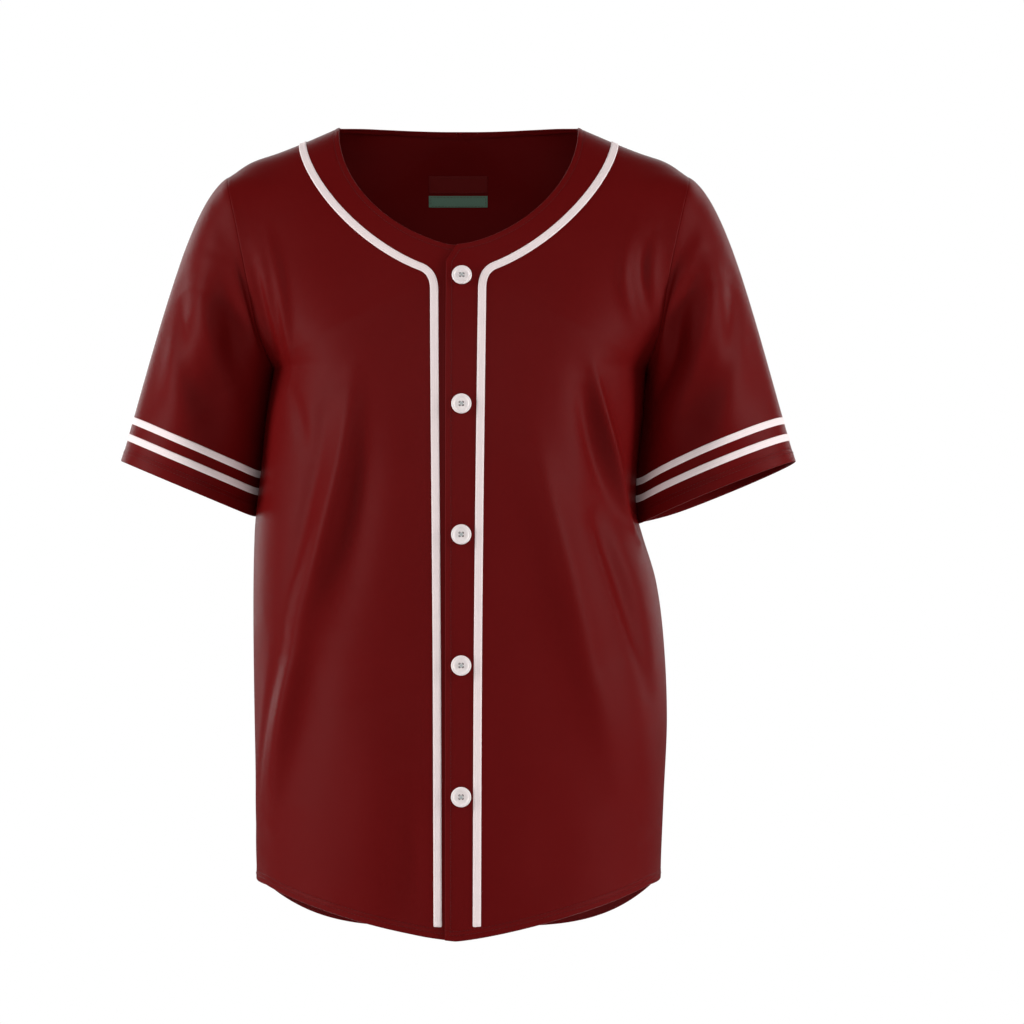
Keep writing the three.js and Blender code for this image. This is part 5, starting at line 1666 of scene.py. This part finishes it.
# %% [markdown]
# ## Light, floor and camera
# A product photographer hangs the jersey in front of white paper, with a tall soft box on each side. Their
# light rakes across the folds and leaves the middle of the chest darker. A wide weak light in front fills
# it, and three weaker lights behind show the back.

# %% World and floor
world = bpy.data.worlds.new("studio")
bpy.context.scene.world = world
world.use_nodes = True
WORLD_LIGHT = 0.13
PAPER_WHITE = 1.0


def white_background(tree, strength):
    """A white background node of one strength."""
    node = tree.nodes.new("ShaderNodeBackground")
    node.inputs["Color"].default_value = (1, 1, 1, 1)
    node.inputs["Strength"].default_value = strength
    return node


def light_world():
    """White paper as the camera sees it, and a dimmer even light on the jersey."""
    tree = world.node_tree
    tree.nodes.clear()
    seen, given = white_background(tree, PAPER_WHITE), white_background(tree, WORLD_LIGHT)
    path, mix = tree.nodes.new("ShaderNodeLightPath"), tree.nodes.new("ShaderNodeMixShader")
    exit_node = tree.nodes.new("ShaderNodeOutputWorld")
    tree.links.new(path.outputs["Is Camera Ray"], mix.inputs[0])
    tree.links.new(given.outputs[0], mix.inputs[1])
    tree.links.new(seen.outputs[0], mix.inputs[2])
    tree.links.new(mix.outputs[0], exit_node.inputs["Surface"])


light_world()
FLOOR = {"z": -1.2, "radius": 2.0, "sides": 96}
PAPER = {"color": (0.9, 0.9, 0.9, 1), "roughness": 0.9}


def make_floor():
    """A round sheet of pale paper on the ground, some way below the hem."""
    disc = bmesh.new()
    bmesh.ops.create_circle(disc, cap_ends=True, radius=FLOOR["radius"], segments=FLOOR["sides"])
    floor = new_mesh("floor", np.zeros((1, 3)), [])
    disc.to_mesh(floor.data)
    disc.free()
    floor.data.transform(Matrix.Translation((0, 0, FLOOR["z"])))
    paper = bpy.data.materials.new("paper")
    paper.use_nodes = True
    shader = paper.node_tree.nodes["Principled BSDF"]
    shader.inputs["Base Color"].default_value = PAPER["color"]
    shader.inputs["Roughness"].default_value = PAPER["roughness"]
    floor.data.materials.append(paper)


make_floor()

# %% Lights
TARGET = (0.0, 0.0, -0.36)
LIGHTS = [
    {"name": "box_right", "turn": -75, "rise": 14, "away": 2.4, "size": (0.6, 1.9), "power": 46},
    {"name": "box_left", "turn": 75, "rise": 14, "away": 2.4, "size": (0.6, 1.9), "power": 43},
    {"name": "fill", "turn": 0, "rise": 18, "away": 2.9, "size": (2.6, 1.8), "power": 28},
    {"name": "box_behind_right", "turn": -142, "rise": 16, "away": 2.6, "size": (0.8, 1.9), "power": 17},
    {"name": "box_behind_left", "turn": 142, "rise": 16, "away": 2.6, "size": (0.8, 1.9), "power": 13},
    {"name": "fill_behind", "turn": 180, "rise": 40, "away": 2.9, "size": (2.6, 1.4), "power": 22},
]


def aim(thing, place, target):
    """Puts a light or camera at a place, looking at a target."""
    way = Vector(target) - Vector(place)
    thing.location = place
    thing.rotation_euler = way.to_track_quat("-Z", "Y").to_euler()


def soft_box(name, turn, rise, away, size, power):
    """A rectangular light. Its turn is 0 degrees in front of the jersey and 90 on its wearer's left."""
    data = bpy.data.lights.new(name, "AREA")
    data.shape = "RECTANGLE"
    data.size, data.size_y = size
    data.energy = power
    light = bpy.data.objects.new(name, data)
    bpy.context.scene.collection.objects.link(light)
    turn, rise = math.radians(turn), math.radians(rise)
    place = (
        TARGET[0] + away * math.sin(turn) * math.cos(rise),
        TARGET[1] - away * math.cos(turn) * math.cos(rise),
        TARGET[2] + away * math.sin(rise),
    )
    aim(light, place, TARGET)
    light.visible_camera = False


for light in LIGHTS:
    soft_box(**light)
print("lights:", len(LIGHTS), "with", sum(light["power"] for light in LIGHTS), "watts in all")

# %% Camera
CAMERA = {"place": (0.0477, -2.5, -0.3456), "lens": 97.66, "sensor": 36}
camera_data = bpy.data.cameras.new("camera")
camera_data.lens = CAMERA["lens"]
camera_data.sensor_width = CAMERA["sensor"]
camera = bpy.data.objects.new("camera", camera_data)
bpy.context.scene.collection.objects.link(camera)
aim(camera, CAMERA["place"], (CAMERA["place"][0], 0, CAMERA["place"][2]))
bpy.context.scene.camera = camera
bpy.context.scene.view_settings.view_transform = "Standard"
bpy.context.scene.view_settings.look = "None"
